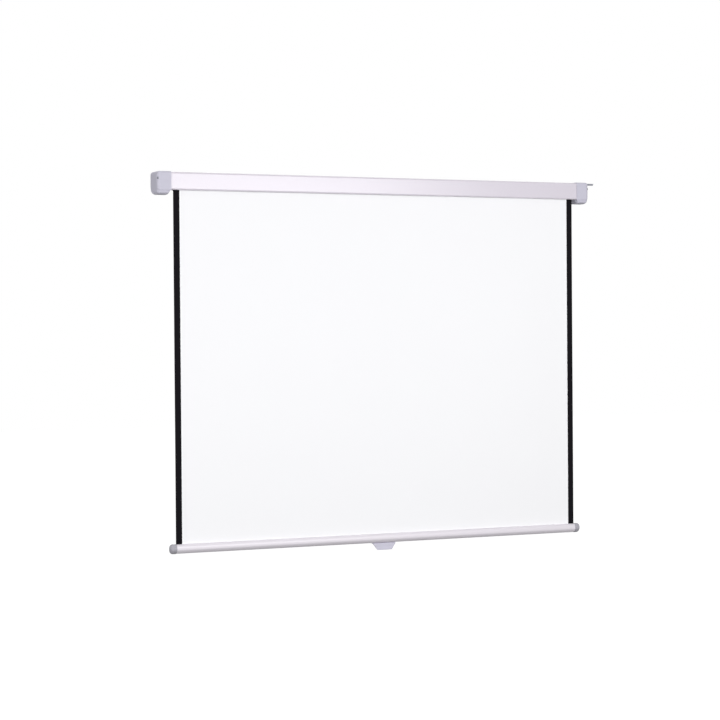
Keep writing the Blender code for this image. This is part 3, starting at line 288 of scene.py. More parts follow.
def bar_paint(tree, where, colour):
    """Painted aluminium extrusion: smoother than the case, with faint die lines along its length."""
    along = add(tree, "ShaderNodeMapping", {"Vector": where, "Scale": (1 / 400, 1, 1)})
    lines = add(tree, "ShaderNodeTexNoise", {"Vector": along, "Scale": 1 / 0.0012, "Detail": 1.0})
    satin = add(tree, "ShaderNodeTexNoise", {"Vector": where, "Scale": 1 / 0.0030})
    shades = {0: lines, 6: shade(colour, 0.985), 7: shade(colour)}
    return {
        "Base Color": add(tree, "ShaderNodeMix", shades, data_type="RGBA").outputs[2],
        "Roughness": add(tree, "ShaderNodeMapRange", {"Value": satin, "To Min": 0.30, "To Max": 0.40}),
        "Normal": add(tree, "ShaderNodeBump", {"Height": lines, "Distance": 0.00003, "Strength": 0.5}),
        "IOR": 1.50,
    }


def moulded_plastic(tree, where, colour, grain, roughness):
    """Injection-moulded plastic with a spark-eroded skin: an even fine grain and a soft sheen."""
    skin = add(tree, "ShaderNodeTexNoise", {"Vector": where, "Scale": 1 / grain, "Detail": 3.0})
    return {
        "Base Color": drifting(tree, where, 0.030, 2.0, shade(colour, 0.96), shade(colour, 1.02)),
        "IOR": 1.53,
        "Specular IOR Level": 0.3,
        **grained(tree, skin, roughness - 0.05, roughness + 0.07, grain * 0.08, 0.6),
    }


def plated_metal(tree, where, colour, roughness, tint):
    """Rolled and plated metal: fine roller lines, with a slow change of tint from the passivation."""
    tinted = [c * change for c, change in zip(colour, tint)]
    along = add(tree, "ShaderNodeMapping", {"Vector": where, "Scale": (1 / 30, 1, 1)})
    lines = add(tree, "ShaderNodeTexNoise", {"Vector": along, "Scale": 1 / 0.0006})
    return {
        "Base Color": drifting(tree, where, 0.012, 3.0, shade(colour), shade(tinted)),
        "Metallic": 1.0,
        **grained(tree, lines, roughness - 0.08, roughness + 0.12, 0.00002, 0.5),
    }


def galvanised_steel(tree, where, colour):
    """Hot-dip zinc: flat crystals about 9 mm across, each a little lighter or duller than the next."""
    crystals = add(tree, "ShaderNodeTexVoronoi", {"Vector": where, "Scale": 1 / 0.009})
    crystal = add(tree, "ShaderNodeSeparateColor", {"Color": crystals.outputs["Color"]})
    shades = {0: crystal, 6: shade(colour, 0.80), 7: shade(colour)}
    return {
        "Base Color": add(tree, "ShaderNodeMix", shades, data_type="RGBA").outputs[2],
        "Roughness": add(tree, "ShaderNodeMapRange", {"Value": crystal, "To Min": 0.32, "To Max": 0.55}),
        "Metallic": 1.0,
    }


def weave_bumps(tree, where, pitch, depth, strength):
    """Bumps of a plain weave seen through a coating."""
    threads = []
    for direction in ("X", "Z"):
        # At scale 1 a wave texture has 3.18 waves a metre
        inputs = {"Vector": where, "Scale": 1 / (pitch * 3.18)}
        settings = {"wave_type": "BANDS", "bands_direction": direction, "wave_profile": "SIN"}
        threads.append(add(tree, "ShaderNodeTexWave", inputs, **settings).outputs["Fac"])
    height = add(tree, "ShaderNodeMath", dict(enumerate(threads)), operation="MULTIPLY")
    return add(tree, "ShaderNodeBump", {"Height": height, "Distance": depth, "Strength": strength})


def fabric_face(tree, where, settings):
    """PVC-coated glass cloth: dead matt white, the weave just felt, a printed border down each side."""
    across = add(tree, "ShaderNodeSeparateXYZ", {0: where})
    from_middle = add(tree, "ShaderNodeMath", {0: across}, operation="ABSOLUTE")
    edge, pitch = HALF_FABRIC - settings.border_width, settings.thread_pitch
    inputs = {"Value": from_middle, "From Min": edge - 0.0002, "From Max": edge + 0.0002}
    printed = add(tree, "ShaderNodeMapRange", inputs)
    coat = drifting(tree, where, 0.18, 2.0, shade(settings.face, 0.992), shade(settings.face))
    ink = drifting(tree, where, 0.004, 2.0, shade(settings.border, 0.85), shade(settings.border))
    shades = {0: printed, 6: coat, 7: ink}
    return {
        "Base Color": add(tree, "ShaderNodeMix", shades, data_type="RGBA").outputs[2],
        "Roughness": add(tree, "ShaderNodeMapRange", {"Value": printed, "To Min": 0.92, "To Max": 0.72}),
        "Normal": weave_bumps(tree, where, pitch, pitch * 0.04, 0.5),
        "Specular IOR Level": 0.05,
    }


def fabric_back(tree, where, settings):
    """Black light-tight coating on the back of the fabric, matt, with the same weave."""
    pitch = settings.thread_pitch
    return {
        "Base Color": drifting(tree, where, 0.02, 3.0, shade(settings.back, 0.8), shade(settings.back)),
        "Roughness": 0.78,
        "Normal": weave_bumps(tree, where, pitch, pitch * 0.05, 0.6),
    }


def seen_directly(tree, otherwise, strength):
    """A strength for rays from the camera, from gloss and through glass, and another for the rest."""
    seen = 0.0
    rays = add(tree, "ShaderNodeLightPath").outputs
    for ray in ("Is Camera Ray", "Is Glossy Ray", "Is Transmission Ray"):
        seen = add(tree, "ShaderNodeMath", {0: rays[ray], 1: seen}, operation="MAXIMUM")
    return add(tree, "ShaderNodeMapRange", {"Value": seen, "To Min": otherwise, "To Max": strength})


def studio_floor(tree, where):
    """A floor that looks white, and throws little light up at the undersides."""
    return {
        "Base Color": (0.12, 0.12, 0.12, 1.0),
        "Roughness": 0.9,
        "Emission Color": (1, 1, 1, 1),
        "Emission Strength": seen_directly(tree, 0.0, 0.94),
    }


FINISHES = {}


def finish(slot):
    """The material for a slot, made once from the settings."""
    if slot not in FINISHES:
        chosen = bpy.context.scene.projector_screen
        case, fabric, metal = chosen.case, chosen.fabric, chosen.metal
        skin = (case.grain, 0.58)
        kinds = {
            "white_powder_coat": ("powder_coated_steel", powder_coat, case),
            "grey_moulded_plastic": ("moulded_abs", moulded_plastic, case.cap_plastic, *skin),
            "dark_grey_moulded_plastic": ("moulded_abs_dark", moulded_plastic, case.plug_plastic, *skin),
            "zinc_plated_steel": ("zinc_plated_steel", plated_metal, metal.zinc, 0.36, (0.96, 0.98, 1.04)),
            "spring_steel": ("oiled_spring_steel", plated_metal, metal.steel, 0.30, (0.92, 0.86, 0.80)),
            "galvanised_tube": ("galvanised_steel", galvanised_steel, metal.galvanised),
            "natural_nylon": ("natural_nylon", moulded_plastic, linear("#E4E0D4"), 0.0012, 0.45),
            "black_nylon": ("black_nylon", moulded_plastic, linear("#1E1E20"), 0.0010, 0.50),
            "screen_fabric": ("matt_white_projection_fabric", fabric_face, fabric),
            "fabric_back": ("black_coated_fabric_back", fabric_back, fabric),
            "white_painted_aluminium": ("painted_aluminium_extrusion", bar_paint, metal.bar_paint),
        }
        FINISHES[slot] = new_material(*kinds[slot])
    return FINISHES[slot]


# Mesh building


def dress(obj, *slots):
    """Gives an object the materials of these slots and no others."""
    obj.data.materials.clear()
    for slot in slots:
        obj.data.materials.append(finish(slot))


def show(name, data, *slots):
    obj = bpy.data.objects.new(name, data)
    bpy.context.scene.collection.objects.link(obj)
    if slots:
        dress(obj, *slots)
    return obj


def drawn(name, work, *slots):
    """The object that a bmesh turns into; the bmesh ends here."""
    mesh = bpy.data.meshes.new(name)
    work.to_mesh(mesh)
    work.free()
    return show(name, mesh, *slots)


def merge_seams(work):
    bmesh.ops.remove_doubles(work, verts=work.verts, dist=1e-6)
    bmesh.ops.dissolve_degenerate(work, edges=work.edges, dist=1e-6)


def settle(obj, angle=35):
    """Applies an object's modifiers, merges its seams and shades it smooth with flat faces kept flat."""
    bpy.context.view_layer.update()
    graph = bpy.context.evaluated_depsgraph_get()
    evaluated = obj.evaluated_get(graph)
    mesh = bpy.data.meshes.new_from_object(evaluated, preserve_all_data_layers=True, depsgraph=graph)
    mesh.transform(obj.matrix_world)
    obj.modifiers.clear()
    work = bmesh.new()
    work.from_mesh(mesh)
    merge_seams(work)
    work.to_mesh(mesh)
    work.free()
    mesh.shade_smooth()
    mesh.set_sharp_from_angle(angle=radians(angle))
    if obj.type == "MESH":
        obj.data = mesh
        obj.matrix_world = Matrix.Identity(4)
        return obj
    bpy.data.objects.remove(obj, do_unlink=True)
    return show(mesh.name, mesh)


def modify(obj, kind, **settings):
    modifier = obj.modifiers.new(kind.title(), kind)
    for name, value in settings.items():
        setattr(modifier, name, value)
    return modifier


def thicken(obj, thickness, offset=-1.0):
    modify(obj, "SOLIDIFY", thickness=thickness, offset=offset, use_even_offset=True)


def soften_edges(obj, width, segments):
    modify(obj, "BEVEL", width=width, segments=segments, limit_method="ANGLE", angle_limit=radians(50))


def combine(target, operation, *others):
    """Cuts the others out of the target or joins them to it, and removes them."""
    for other in others:
        modify(target, "BOOLEAN", operation=operation, solver="EXACT", object=other)
    settle(target)
    for other in others:
        bpy.data.objects.remove(other, do_unlink=True)


def cut(target, *cutters):
    combine(target, "DIFFERENCE", *cutters)


def install(obj, slot, body, *nodes, flat=True):
    """Puts a piece in the place of its CAD nodes; flat keeps flat faces flat beside rounded edges."""
    if flat:
        modify(obj, "WEIGHTED_NORMAL", keep_sharp=True, weight=100)
    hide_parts(*nodes)
    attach(obj, body)


def cylinder(name, radius, start, end):
    start, end = Vector(start), Vector(end)
    work = bmesh.new()
    turn = (end - start).to_track_quat("Z", "Y").to_matrix().to_4x4()
    sizes = {"segments": 48, "radius1": radius, "radius2": radius, "depth": (end - start).length}
    place = Matrix.Translation((start + end) / 2) @ turn
    bmesh.ops.create_cone(work, cap_ends=True, matrix=place, **sizes)
    return drawn(name, work)


def block(name, low, high):
    low, high = Vector(low), Vector(high)
    work = bmesh.new()
    place = Matrix.Translation((low + high) / 2) @ Matrix.Diagonal(high - low).to_4x4()
    bmesh.ops.create_cube(work, size=1.0, matrix=place)
    return drawn(name, work)


def loft(name, rows, *slots, ring=False, close_last=False):
    """Skins rows of points that follow each other along +X, or mirrored along -X, and closes rings."""
    work = bmesh.new()
    made = [[work.verts.new(point) for point in row] for row in rows]
    for row, following in zip(made, made[1:]):
        count = len(row)
        for i in range(count if ring else count - 1):
            j = (i + 1) % count
            work.faces.new((row[i], following[i], following[j], row[j]))
    if ring:
        work.faces.new(made[0])
    if ring or close_last:
        work.faces.new(list(reversed(made[-1])))
    if rows[-1][0][0] < rows[0][0][0]:
        bmesh.ops.reverse_faces(work, faces=work.faces)
    return drawn(name, work, *slots)


def section(name, outline, x_from, x_to):
    """A closed (y, z) outline, filled and extruded along X."""
    curve = bpy.data.curves.new(name, "CURVE")
    curve.dimensions = "2D"
    curve.fill_mode = "BOTH"
    curve.extrude = (x_to - x_from) / 2
    spline = curve.splines.new("POLY")
    spline.points.add(len(outline) - 1)
    for point, (y, z) in zip(spline.points, outline):
        point.co = (y, z, 0.0, 1.0)
    spline.use_cyclic_u = True
    flat = show(name + "_outline", curve)
    flat.location.x = (x_from + x_to) / 2
    flat.rotation_euler = (pi / 2, 0, pi / 2)
    made = settle(flat)
    made.name = name
    return made


def turned(name, profile, *slots, steps=36):
    """A solid turned about Z from (radius, z) points that run downwards."""
    work = bmesh.new()
    points = [work.verts.new((-radius, 0, z)) for radius, z in profile]
    edges = [work.edges.new(pair) for pair in zip(points, points[1:])]
    bmesh.ops.spin(work, geom=points + edges, cent=(0, 0, 0), axis=(0, 0, 1), angle=2 * pi, steps=steps)
    merge_seams(work)
    bmesh.ops.recalc_face_normals(work, faces=work.faces)
    return drawn(name, work, *slots)


def arc(centre, radius, start, end, steps):
    """Points on an arc from start to end, both included, angles in radians."""
    angles = [start + (end - start) * i / steps for i in range(steps + 1)]
    return [(centre[0] + radius * cos(angle), centre[1] + radius * sin(angle)) for angle in angles]


def rounded_path(corners, steps):
    """An open path through (x, y, radius) corners with each corner replaced by its fillet."""
    path = []
    for i, (x, y, radius) in enumerate(corners):
        if radius == 0.0:
            path.append((x, y))
            continue
        here = Vector((x, y))
        back = (Vector(corners[i - 1][:2]) - here).normalized()
        ahead = (Vector(corners[i + 1][:2]) - here).normalized()
        half = back.angle(ahead) / 2
        middle = here + (back + ahead).normalized() * (radius / sin(half))
        first_touch = here + back * (radius * cos(half) / sin(half)) - middle
        start = atan2(first_touch.y, first_touch.x)
        sweep = pi - 2 * half
        clockwise = back.x * ahead.y - back.y * ahead.x > 0
        path += arc(middle, radius, start, start + (-sweep if clockwise else sweep), steps)
    return path


def bar_outline(half_depth, half_height, count):
    """The bar's section: an upright oval whose front slants back underneath, below its widest line."""
    keel = half_height * BAR_KEEL / HALF_HEIGHT
    points = []
    for i in range(count):
        c, s = cos(2 * pi * i / count), sin(2 * pi * i / count)
        power = 2 / (KEEL_FULLNESS if c < 0 and s < 0 else BAR_FULLNESS)
        reach = keel if s < 0 else 2 * half_height - keel
        y = copysign(half_depth * abs(c) ** power, c)
        points.append((y, keel - half_height + copysign(reach * abs(s) ** power, s)))
    return points


# Node trees


def new_tree(name, **labels):
    """A geometry node tree, with more inputs by kind and label; gives its inputs and its end too."""
    tree = bpy.data.node_groups.new(name, "GeometryNodeTree")
    tree.is_modifier = True
    for kind, names in {"Geometry": ["Geometry"], "Material": ["Material"], **labels}.items():
        for label in names:
            tree.interface.new_socket(label, in_out="INPUT", socket_type="NodeSocket" + kind)
    tree.interface.new_socket("Geometry", in_out="OUTPUT", socket_type="NodeSocketGeometry")
    return tree, tree.nodes.new("NodeGroupInput").outputs, tree.nodes.new("NodeGroupOutput").inputs[0]


def close_tree(tree, end, geometry, material, *overlays):
    """Ends a tree: instances made real, shaded smooth, with its material, then others on selections."""
    made = add(tree, "GeometryNodeRealizeInstances", {"Geometry": geometry})
    made = add(tree, "GeometryNodeSetShadeSmooth", {"Geometry": made})
    for coat, selection in ((material, True), *overlays):
        inputs = {"Geometry": made, "Selection": selection, "Material": coat}
        made = add(tree, "GeometryNodeSetMaterial", inputs)
    tree.links.new(made.outputs[0], end)


def grow(name, tree, values, mesh=None):
    """Runs a tree on a new object, and keeps its result as a plain mesh."""
    obj = show(name, mesh or bpy.data.meshes.new(name))
    modifier = modify(obj, "NODES", node_group=tree)
    names = {item.name: item.identifier for item in tree.interface.items_tree if item.in_out == "INPUT"}
    for label, value in values.items():
        modifier[names[label]] = value
    return settle(obj)


def sweep_along_x(tree, path, profile):
    """A profile swept along a path that winds round Z, laid over so that it winds round X."""
    inputs = {"Curve": path, "Profile Curve": profile, "Fill Caps": True}
    swept = add(tree, "GeometryNodeCurveToMesh", inputs)
    return add(tree, "GeometryNodeTransform", {"Geometry": swept, "Rotation": (0, pi / 2, 0)})


def helix_tree():
    """A round wire wound at one radius, its axis along X from the origin."""
    sizes = ["Radius", "Wire Radius", "Length", "Curls"]
    tree, given, end = new_tree("wound_wire", Float=sizes, Int=["Points A Curl"])
    inputs = {
        "Resolution": given["Points A Curl"],
        "Rotations": given["Curls"],
        "Start Radius": given["Radius"],
        "End Radius": given["Radius"],
        "Height": given["Length"],
    }
    path = add(tree, "GeometryNodeCurveSpiral", inputs)
    inputs = {"Resolution": 8, "Radius": given["Wire Radius"]}
    wound = sweep_along_x(tree, path, add(tree, "GeometryNodeCurvePrimitiveCircle", inputs))
    close_tree(tree, end, wound, given["Material"])
    return tree


def roll_tree():
    """Fabric wound on a tube: a flat strip swept along a spiral whose axis is X, through the origin."""
    sizes = ["Inner Radius", "Outer Radius", "Turns", "Width", "Thickness"]
    tree, given, end = new_tree("wound_fabric_roll", Float=sizes, Material=["Material", "Back Material"])
    inputs = {
        "Resolution": 64,
        "Rotations": given["Turns"],
        "Start Radius": given["Inner Radius"],
        "End Radius": given["Outer Radius"],
        "Height": 0.0,
    }
    path = add(tree, "GeometryNodeCurveSpiral", inputs)
    path = add(tree, "GeometryNodeSetCurveNormal", {"Curve": path}, mode="Z_UP")
    inputs = {"Width": given["Thickness"], "Height": given["Width"]}
    strip = add(tree, "GeometryNodeCurvePrimitiveQuadrilateral", inputs)
    wound = sweep_along_x(tree, path, strip)
    inputs = {0: add(tree, "GeometryNodeInputPosition"), 1: (0.0, 1.0, 1.0)}
    outward = add(tree, "ShaderNodeVectorMath", inputs, operation="MULTIPLY")
    inputs = {0: add(tree, "GeometryNodeInputNormal"), 1: outward}
    facing = add(tree, "ShaderNodeVectorMath", inputs, operation="DOT_PRODUCT").outputs["Value"]
    inner = add(tree, "FunctionNodeCompare", {0: facing, 1: -0.005}, operation="LESS_THAN")
    close_tree(tree, end, wound, given["Material"], (given["Back Material"], inner))
    return tree


def fastener_tree():
    """Copies of one fastener on points, each with its Z along the point's facing attribute."""
    tree, given, end = new_tree("set_fasteners", Object=["Fastener"])
    shape = add(tree, "GeometryNodeObjectInfo", {0: given["Fastener"]}, transform_space="ORIGINAL")
    facing = add(tree, "GeometryNodeInputNamedAttribute", {"Name": "facing"}, data_type="FLOAT_VECTOR")
    inputs = {
        "Points": add(tree, "GeometryNodeMeshToPoints", {"Mesh": given["Geometry"]}),
        "Instance": shape.outputs["Geometry"],
        "Rotation": add(tree, "FunctionNodeAlignRotationToVector", {"Vector": facing}, axis="Z"),
    }
    copies = add(tree, "GeometryNodeInstanceOnPoints", inputs)
    close_tree(tree, end, copies, given["Material"])
    return tree


def hanging_tree():
    """Hanging fabric as a grid in XZ whose slight waves die out at its held top and bottom edges."""
    sizes = ["Width", "Height", "Wave Height"]
    tree, given, end = new_tree("hanging_fabric", Float=sizes, Int=["Columns", "Rows"])
    inputs = {
        "Size X": given["Width"],
        "Size Y": given["Height"],
        "Vertices X": given["Columns"],
        "Vertices Y": given["Rows"],
    }
    grid = add(tree, "GeometryNodeMeshGrid", inputs)
    upright = add(tree, "GeometryNodeTransform", {"Geometry": grid, "Rotation": (pi / 2, 0, 0)})
    place = add(tree, "ShaderNodeSeparateXYZ", {0: add(tree, "GeometryNodeInputPosition")}).outputs
    share = add(tree, "ShaderNodeMath", {0: place["Z"], 1: given["Height"]}, operation="DIVIDE")
    # A long swell that leans with height and a shorter ripple. Of each: radians a metre along, radians
    # of lean from bottom to top, radians at the middle, and its part of the wave height.
    wave = 0.0
    for along, lean, start, part in ((7.3, 2.1, 0.0, 1.0), (15.1, 0.0, 1.3, 0.35)):
        angle = add(tree, "ShaderNodeMath", {0: place["X"], 1: along, 2: start}, operation="MULTIPLY_ADD")
        angle = add(tree, "ShaderNodeMath", {0: share, 1: lean, 2: angle}, operation="MULTIPLY_ADD")
        sine = add(tree, "ShaderNodeMath", {0: angle}, operation="SINE")
        wave = add(tree, "ShaderNodeMath", {0: sine, 1: part, 2: wave}, operation="MULTIPLY_ADD")
    angle = add(tree, "ShaderNodeMath", {0: share, 1: pi}, operation="MULTIPLY")
    fade = add(tree, "ShaderNodeMath", {0: angle}, operation="COSINE")
    for factor in (fade, given["Wave Height"]):
        wave = add(tree, "ShaderNodeMath", {0: wave, 1: factor}, operation="MULTIPLY")
    offset = add(tree, "ShaderNodeCombineXYZ", {"Y": wave})
    waved = add(tree, "GeometryNodeSetPosition", {"Geometry": upright, "Offset": offset})
    close_tree(tree, end, waved, given["Material"])
    return tree


# Case


class CaseShellBuilder(Operator):
    """Roll-formed case with rounded edges and returned lips along the fabric slot"""

    bl_idname = "projector_screen.case_shell"
    bl_label = "Case Shell"

    def execute(self, context):
        steps = context.scene.projector_screen.case.corner_steps
        corners = [
            (SLOT_FRONT, CASE_LOW.z + LIP_HEIGHT, 0.0),
            (SLOT_FRONT, CASE_LOW.z, LIP_BEND),
            (CASE_LOW.y, CASE_LOW.z, CASE_FRONT_CORNER),
            (CASE_LOW.y, CASE_HIGH.z, CASE_FRONT_CORNER),
            (CASE_HIGH.y, CASE_HIGH.z, CASE_BACK_CORNER),
            (CASE_HIGH.y, CASE_LOW.z, CASE_BACK_CORNER),
            (SLOT_BACK, CASE_LOW.z, LIP_BEND),
            (SLOT_BACK, CASE_LOW.z + LIP_HEIGHT, 0.0),
        ]
        path = rounded_path(corners, steps)
        stations = [CASE_LOW.x + (CASE_HIGH.x - CASE_LOW.x) * i / 24 for i in range(25)]
        rows = [[(x, y, z) for y, z in path] for x in stations]
        shell = loft("case_shell_body", rows, "white_powder_coat")
        thicken(shell, SHEET_METAL)
        settle(shell)
        places = rivet_places()
        cut(shell, *(cylinder("rivet_hole", HOLE_RADIUS, (x, -0.01, z), (x, 0.01, z)) for x, z in places))
        install(shell, "white_powder_coat", "case", "case_shell")
        return {"FINISHED"}


# End caps


def cap_outline(inset, belly):
    """One section of a cap's outer face, from the wall under the belly, up the front and over the top."""
    top, front, bottom = CAP_HIGH.z - inset, CAP_LOW.y + inset, CAP_SHELF_Z + inset
    corner = max(CAP_CORNER - inset, CAP_LEAST_CORNER)
    belly_front = front + CAP_LOWER_EDGE + BELLY_SETBACK
    middle, reach = (belly_front + BELLY_BACK) / 2, (BELLY_BACK - belly_front) / 2
    upper = [(0.0, top), (-0.02, top), (-0.045, top)]
    upper += arc((front + corner, top - corner), corner, pi / 2, pi, 10)
    lower = arc((front + CAP_LOWER_EDGE, bottom + CAP_LOWER_EDGE), CAP_LOWER_EDGE, pi, 3 * pi / 2, 6)
    steps, power = 40, 2 / BELLY_FULLNESS
    under = []
    for i in range(steps + 1):
        c, s = cos(pi * i / steps), sin(pi * i / steps)
        under.append((middle - reach * copysign(abs(c) ** power, c), bottom - belly * abs(s) ** power))
    return list(reversed(upper + lower + under + [(0.0, bottom)]))


def cap_rows(side):
    """Sections from the rim that slips over the case to the rounded outer end."""
    rows = []
    for along in [0.0] + [CAP_RIM_BAND + BELLY_RISE * i / 14 for i in range(15)]:
        share = min(max((along - CAP_RIM_BAND) / BELLY_RISE, 0.0), 1.0)
        rows.append((CAP_RIM + along, 0.0, BELLY_DEPTH * sin(pi / 2 * share)))
    for i in range(15):
        t = pi / 2 * i / 14
        rows.append((CAP_END - CAP_END_RADIUS * (1 - sin(t)), CAP_END_RADIUS * (1 - cos(t)), BELLY_DEPTH))
    return [[(side * x, y, z) for y, z in cap_outline(inset, belly)] for x, inset, belly in rows]


def cap_corner(side):
    """The middle of a cap's rounded front corner at the height of its screw, and where it faces."""
    middle = Vector((side * (CAP_END - CAP_END_RADIUS), CAP_LOW.y + CAP_END_RADIUS, CAP_SCREW_Z))
    return middle, Vector((side, -1, 0)).normalized()


def ear_slots():
    """What the right bracket's ear and its turned-down lip cut out of their cap, with room round them."""
    inner, outer, room = CAP_END - CAP_END_RADIUS - 0.004, CAP_END + 0.01, 2 * GAP
    top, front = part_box("right_bracket")[1].z + GAP, EAR_FRONT - GAP
    return [
        block("ear_slot", (inner, front, top - height - room), (outer, front + width + room, top))
        for width, height in ((EAR_WIDTH, EAR_THICKNESS), (EAR_THICKNESS, EAR_LIP))
    ]


def stop_rib(side):
    """The rib round a cap's top and front inside, against which the end of the case stands."""
    inset = CAP_WALL / 2
    top, front, corner = CAP_HIGH.z - inset, CAP_LOW.y + inset, CAP_CORNER - inset
    path = [(front, CASE_LOW.z + CASE_FRONT_CORNER)]
    path += arc((front + corner, top - corner), corner, pi, pi / 2, 10) + [(-CASE_BACK_CORNER, top)]
    start = CASE_HIGH.x + GAP
    ends = (start, start + RIB_THICKNESS)
    rib = loft("cap_stop_rib", [[(side * x, y, z) for y, z in path] for x in ends])
    thicken(rib, inset + STOP_RIB_REACH)
    return settle(rib)


def end_ribs(side):
    """Upright ribs on the flat of a cap's end wall, inside."""
    x0, x1 = sorted(side * (CAP_END - CAP_WALL + reach) for reach in (-END_RIB_DEPTH, CAP_WALL / 2))
    low, high = CASE_LOW.z + 0.001, CAP_HIGH.z - CAP_END_RADIUS - 0.0025
    half = RIB_THICKNESS / 2
    middles = [CASE_LOW.y / 2 + i * END_RIB_SPACING for i in (-1, 0, 1)]
    return [block("cap_end_rib", (x0, y - half, low), (x1, y + half, high)) for y in middles]


class EndCapBuilder(Operator):
    """Moulded end caps with a rounded outer end, a belly under the case line and a screw in the corner"""

    bl_idname = "projector_screen.end_caps"
    bl_label = "End Caps"

    def execute(self, context):
        for name, side in SIDES:
            cap = loft(f"{name}_end_cap_shell", cap_rows(side), "grey_moulded_plastic", close_last=True)
            thicken(cap, CAP_WALL)
            settle(cap)
            middle, facing = cap_corner(side)
            seat = middle + facing * (CAP_END_RADIUS - SEAT_DEPTH)
            cutters = [
                cylinder("cap_screw_seat", SEAT_RADIUS, seat, seat + facing * 0.01),
                cylinder("cap_screw_hole", HOLE_RADIUS, middle, seat + facing * 0.005),
            ]
            if side > 0:
                cutters += ear_slots()
            cut(cap, *cutters)
            combine(cap, "UNION", stop_rib(side), *end_ribs(side))
            soften_edges(cap, 0.00035, 3)
            settle(cap)
            install(cap, "grey_moulded_plastic", "case", f"{name}_end_cap")
        return {"FINISHED"}


# Fasteners


def rivet_places():
    """Where the rivets hold the case's back on the brackets."""
    return [(side * RIVET_X, z) for side in (-1, 1) for z in (RIVET_Z, -RIVET_Z)]


def head(name, radius, height, shank_radius, shank_length, recess):
    """A domed head at z 0 on its shank, with a cross recess where one is asked for."""
    steps = 8
    dome = [(radius * sin(pi / 2 * i / steps), height * cos(pi / 2 * i / steps)) for i in range(steps)]
    profile = dome + [(radius, height * 0.12), (radius * 0.98, 0.0), (shank_radius, 0.0)]
    profile += [(shank_radius, -shank_length), (0.0, -shank_length)]
    made = turned(name, profile, "zinc_plated_steel")
    if recess:
        arm, width, floor, top = radius * 0.62, radius * 0.16, height - recess, height + 0.001
        cut(made, *(block("slot", (-x, -y, floor), (x, y, top)) for x, y in ((arm, width), (width, arm))))
    return made


def points_mesh(name, places):
    """A mesh of loose points, each with the direction in which its fastener faces."""
    mesh = bpy.data.meshes.new(name)
    mesh.from_pydata([tuple(place) for place, _ in places], [], [])
    facing = mesh.attributes.new("facing", "FLOAT_VECTOR", "POINT")
    for i, (_, direction) in enumerate(places):
        facing.data[i].vector = direction
    return mesh


class FastenerBuilder(Operator):
    """Cap screws, case rivets and handle screws, each kind copied onto its own points"""

    bl_idname = "projector_screen.fasteners"
    bl_label = "Fasteners"

    def execute(self, context):
        tree = fastener_tree()
        corners = [cap_corner(side) for _, side in SIDES]
        out = CAP_END_RADIUS - CAP_SCREW_DEPTH
        cap_points = [(middle + facing * out, facing) for middle, facing in corners]
        rivet_points = [((x, RIVET_SEAT_Y, z), (0, -1, 0)) for x, z in rivet_places()]
        handle_z = SCREW_LOW.z + HANDLE_SCREW_HEAD
        handle_points = [((side * HANDLE_SCREW_X, SCREW_Y, handle_z), (0, 0, -1)) for _, side in SIDES]
        # Head radius and height, shank radius and length, and depth of the cross recess
        kinds = {
            "cap_screw": (cap_points, "case", 0.0044, 0.0024, 0.0018, 0.008, 0.0012),
            "case_rivet": (rivet_points, "case", 0.0034, 0.0014, 0.0018, 0.0035, 0.0),
            "handle_screw": (handle_points, "bottom_bar", 0.0032, HANDLE_SCREW_HEAD, 0.0015, 0.009, 0.0010),
        }
        for kind, (points, body, *sizes) in kinds.items():
            shape = head(kind, *sizes)
            values = {"Fastener": shape, "Material": finish("zinc_plated_steel")}
            made = grow(kind + "s", tree, values, points_mesh(kind + "s", points))
            bpy.data.objects.remove(shape, do_unlink=True)
            endings = ("upper_rivet", "lower_rivet") if kind == "case_rivet" else (kind,)
            nodes = [f"{side}_{ending}" for side, _ in SIDES for ending in endings]
            install(made, "zinc_plated_steel", body, *nodes)
        return {"FINISHED"}


# Fabric


class FabricBuilder(Operator):
    """The hanging projection fabric, white with a dark border down each side and a black back"""

    bl_idname = "projector_screen.fabric"
    bl_label = "Projection Fabric"

    def execute(self, context):
        width, height = 2 * HALF_FABRIC, SHEET_HIGH.z - SHEET_LOW.z
        values = {
            "Width": width,
            "Height": height,
            "Wave Height": context.scene.projector_screen.fabric.wave_height,
            "Columns": 121,
            "Rows": 97,
            "Material": finish("screen_fabric"),
        }
        sheet = grow("projection_fabric", hanging_tree(), values)
        dress(sheet, "screen_fabric", "fabric_back")
        sheet.data.transform(Matrix.Translation((SHEET_LOW + SHEET_HIGH) / 2))
        back = {"material_offset": 1, "material_offset_rim": 1}
        modify(sheet, "SOLIDIFY", thickness=SHEET_THICKNESS, offset=0.0, **back)
        settle(sheet, 60)
        install(sheet, "screen_fabric", "case", "screen_fabric", flat=False)
        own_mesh(sheet)
        return {"FINISHED"}


class FabricRollBuilder(Operator):
    """The turns of fabric that stay wound on the tube when the screen is down"""

    bl_idname = "projector_screen.fabric_roll"
    bl_label = "Fabric Roll"

    def execute(self, context):
        width, half = 2 * HALF_FABRIC, SHEET_THICKNESS / 2
        inner, outer = ROLL_HIGH.z - WRAPS_THICKNESS + half, ROLL_HIGH.z - half
        values = {
            "Inner Radius": inner,
            "Outer Radius": outer,
            "Turns": WRAPS,
            "Width": width,
            "Thickness": SHEET_THICKNESS * 0.9,
            "Material": finish("screen_fabric"),
            "Back Material": finish("fabric_back"),
        }
        roll = grow("projection_fabric_roll", roll_tree(), values)
        roll.data.transform(Matrix.Translation((0, AXIS_Y, 0)))
        install(roll, "screen_fabric", "roller", "wound_fabric", flat=False)
        return {"FINISHED"}


# Spring


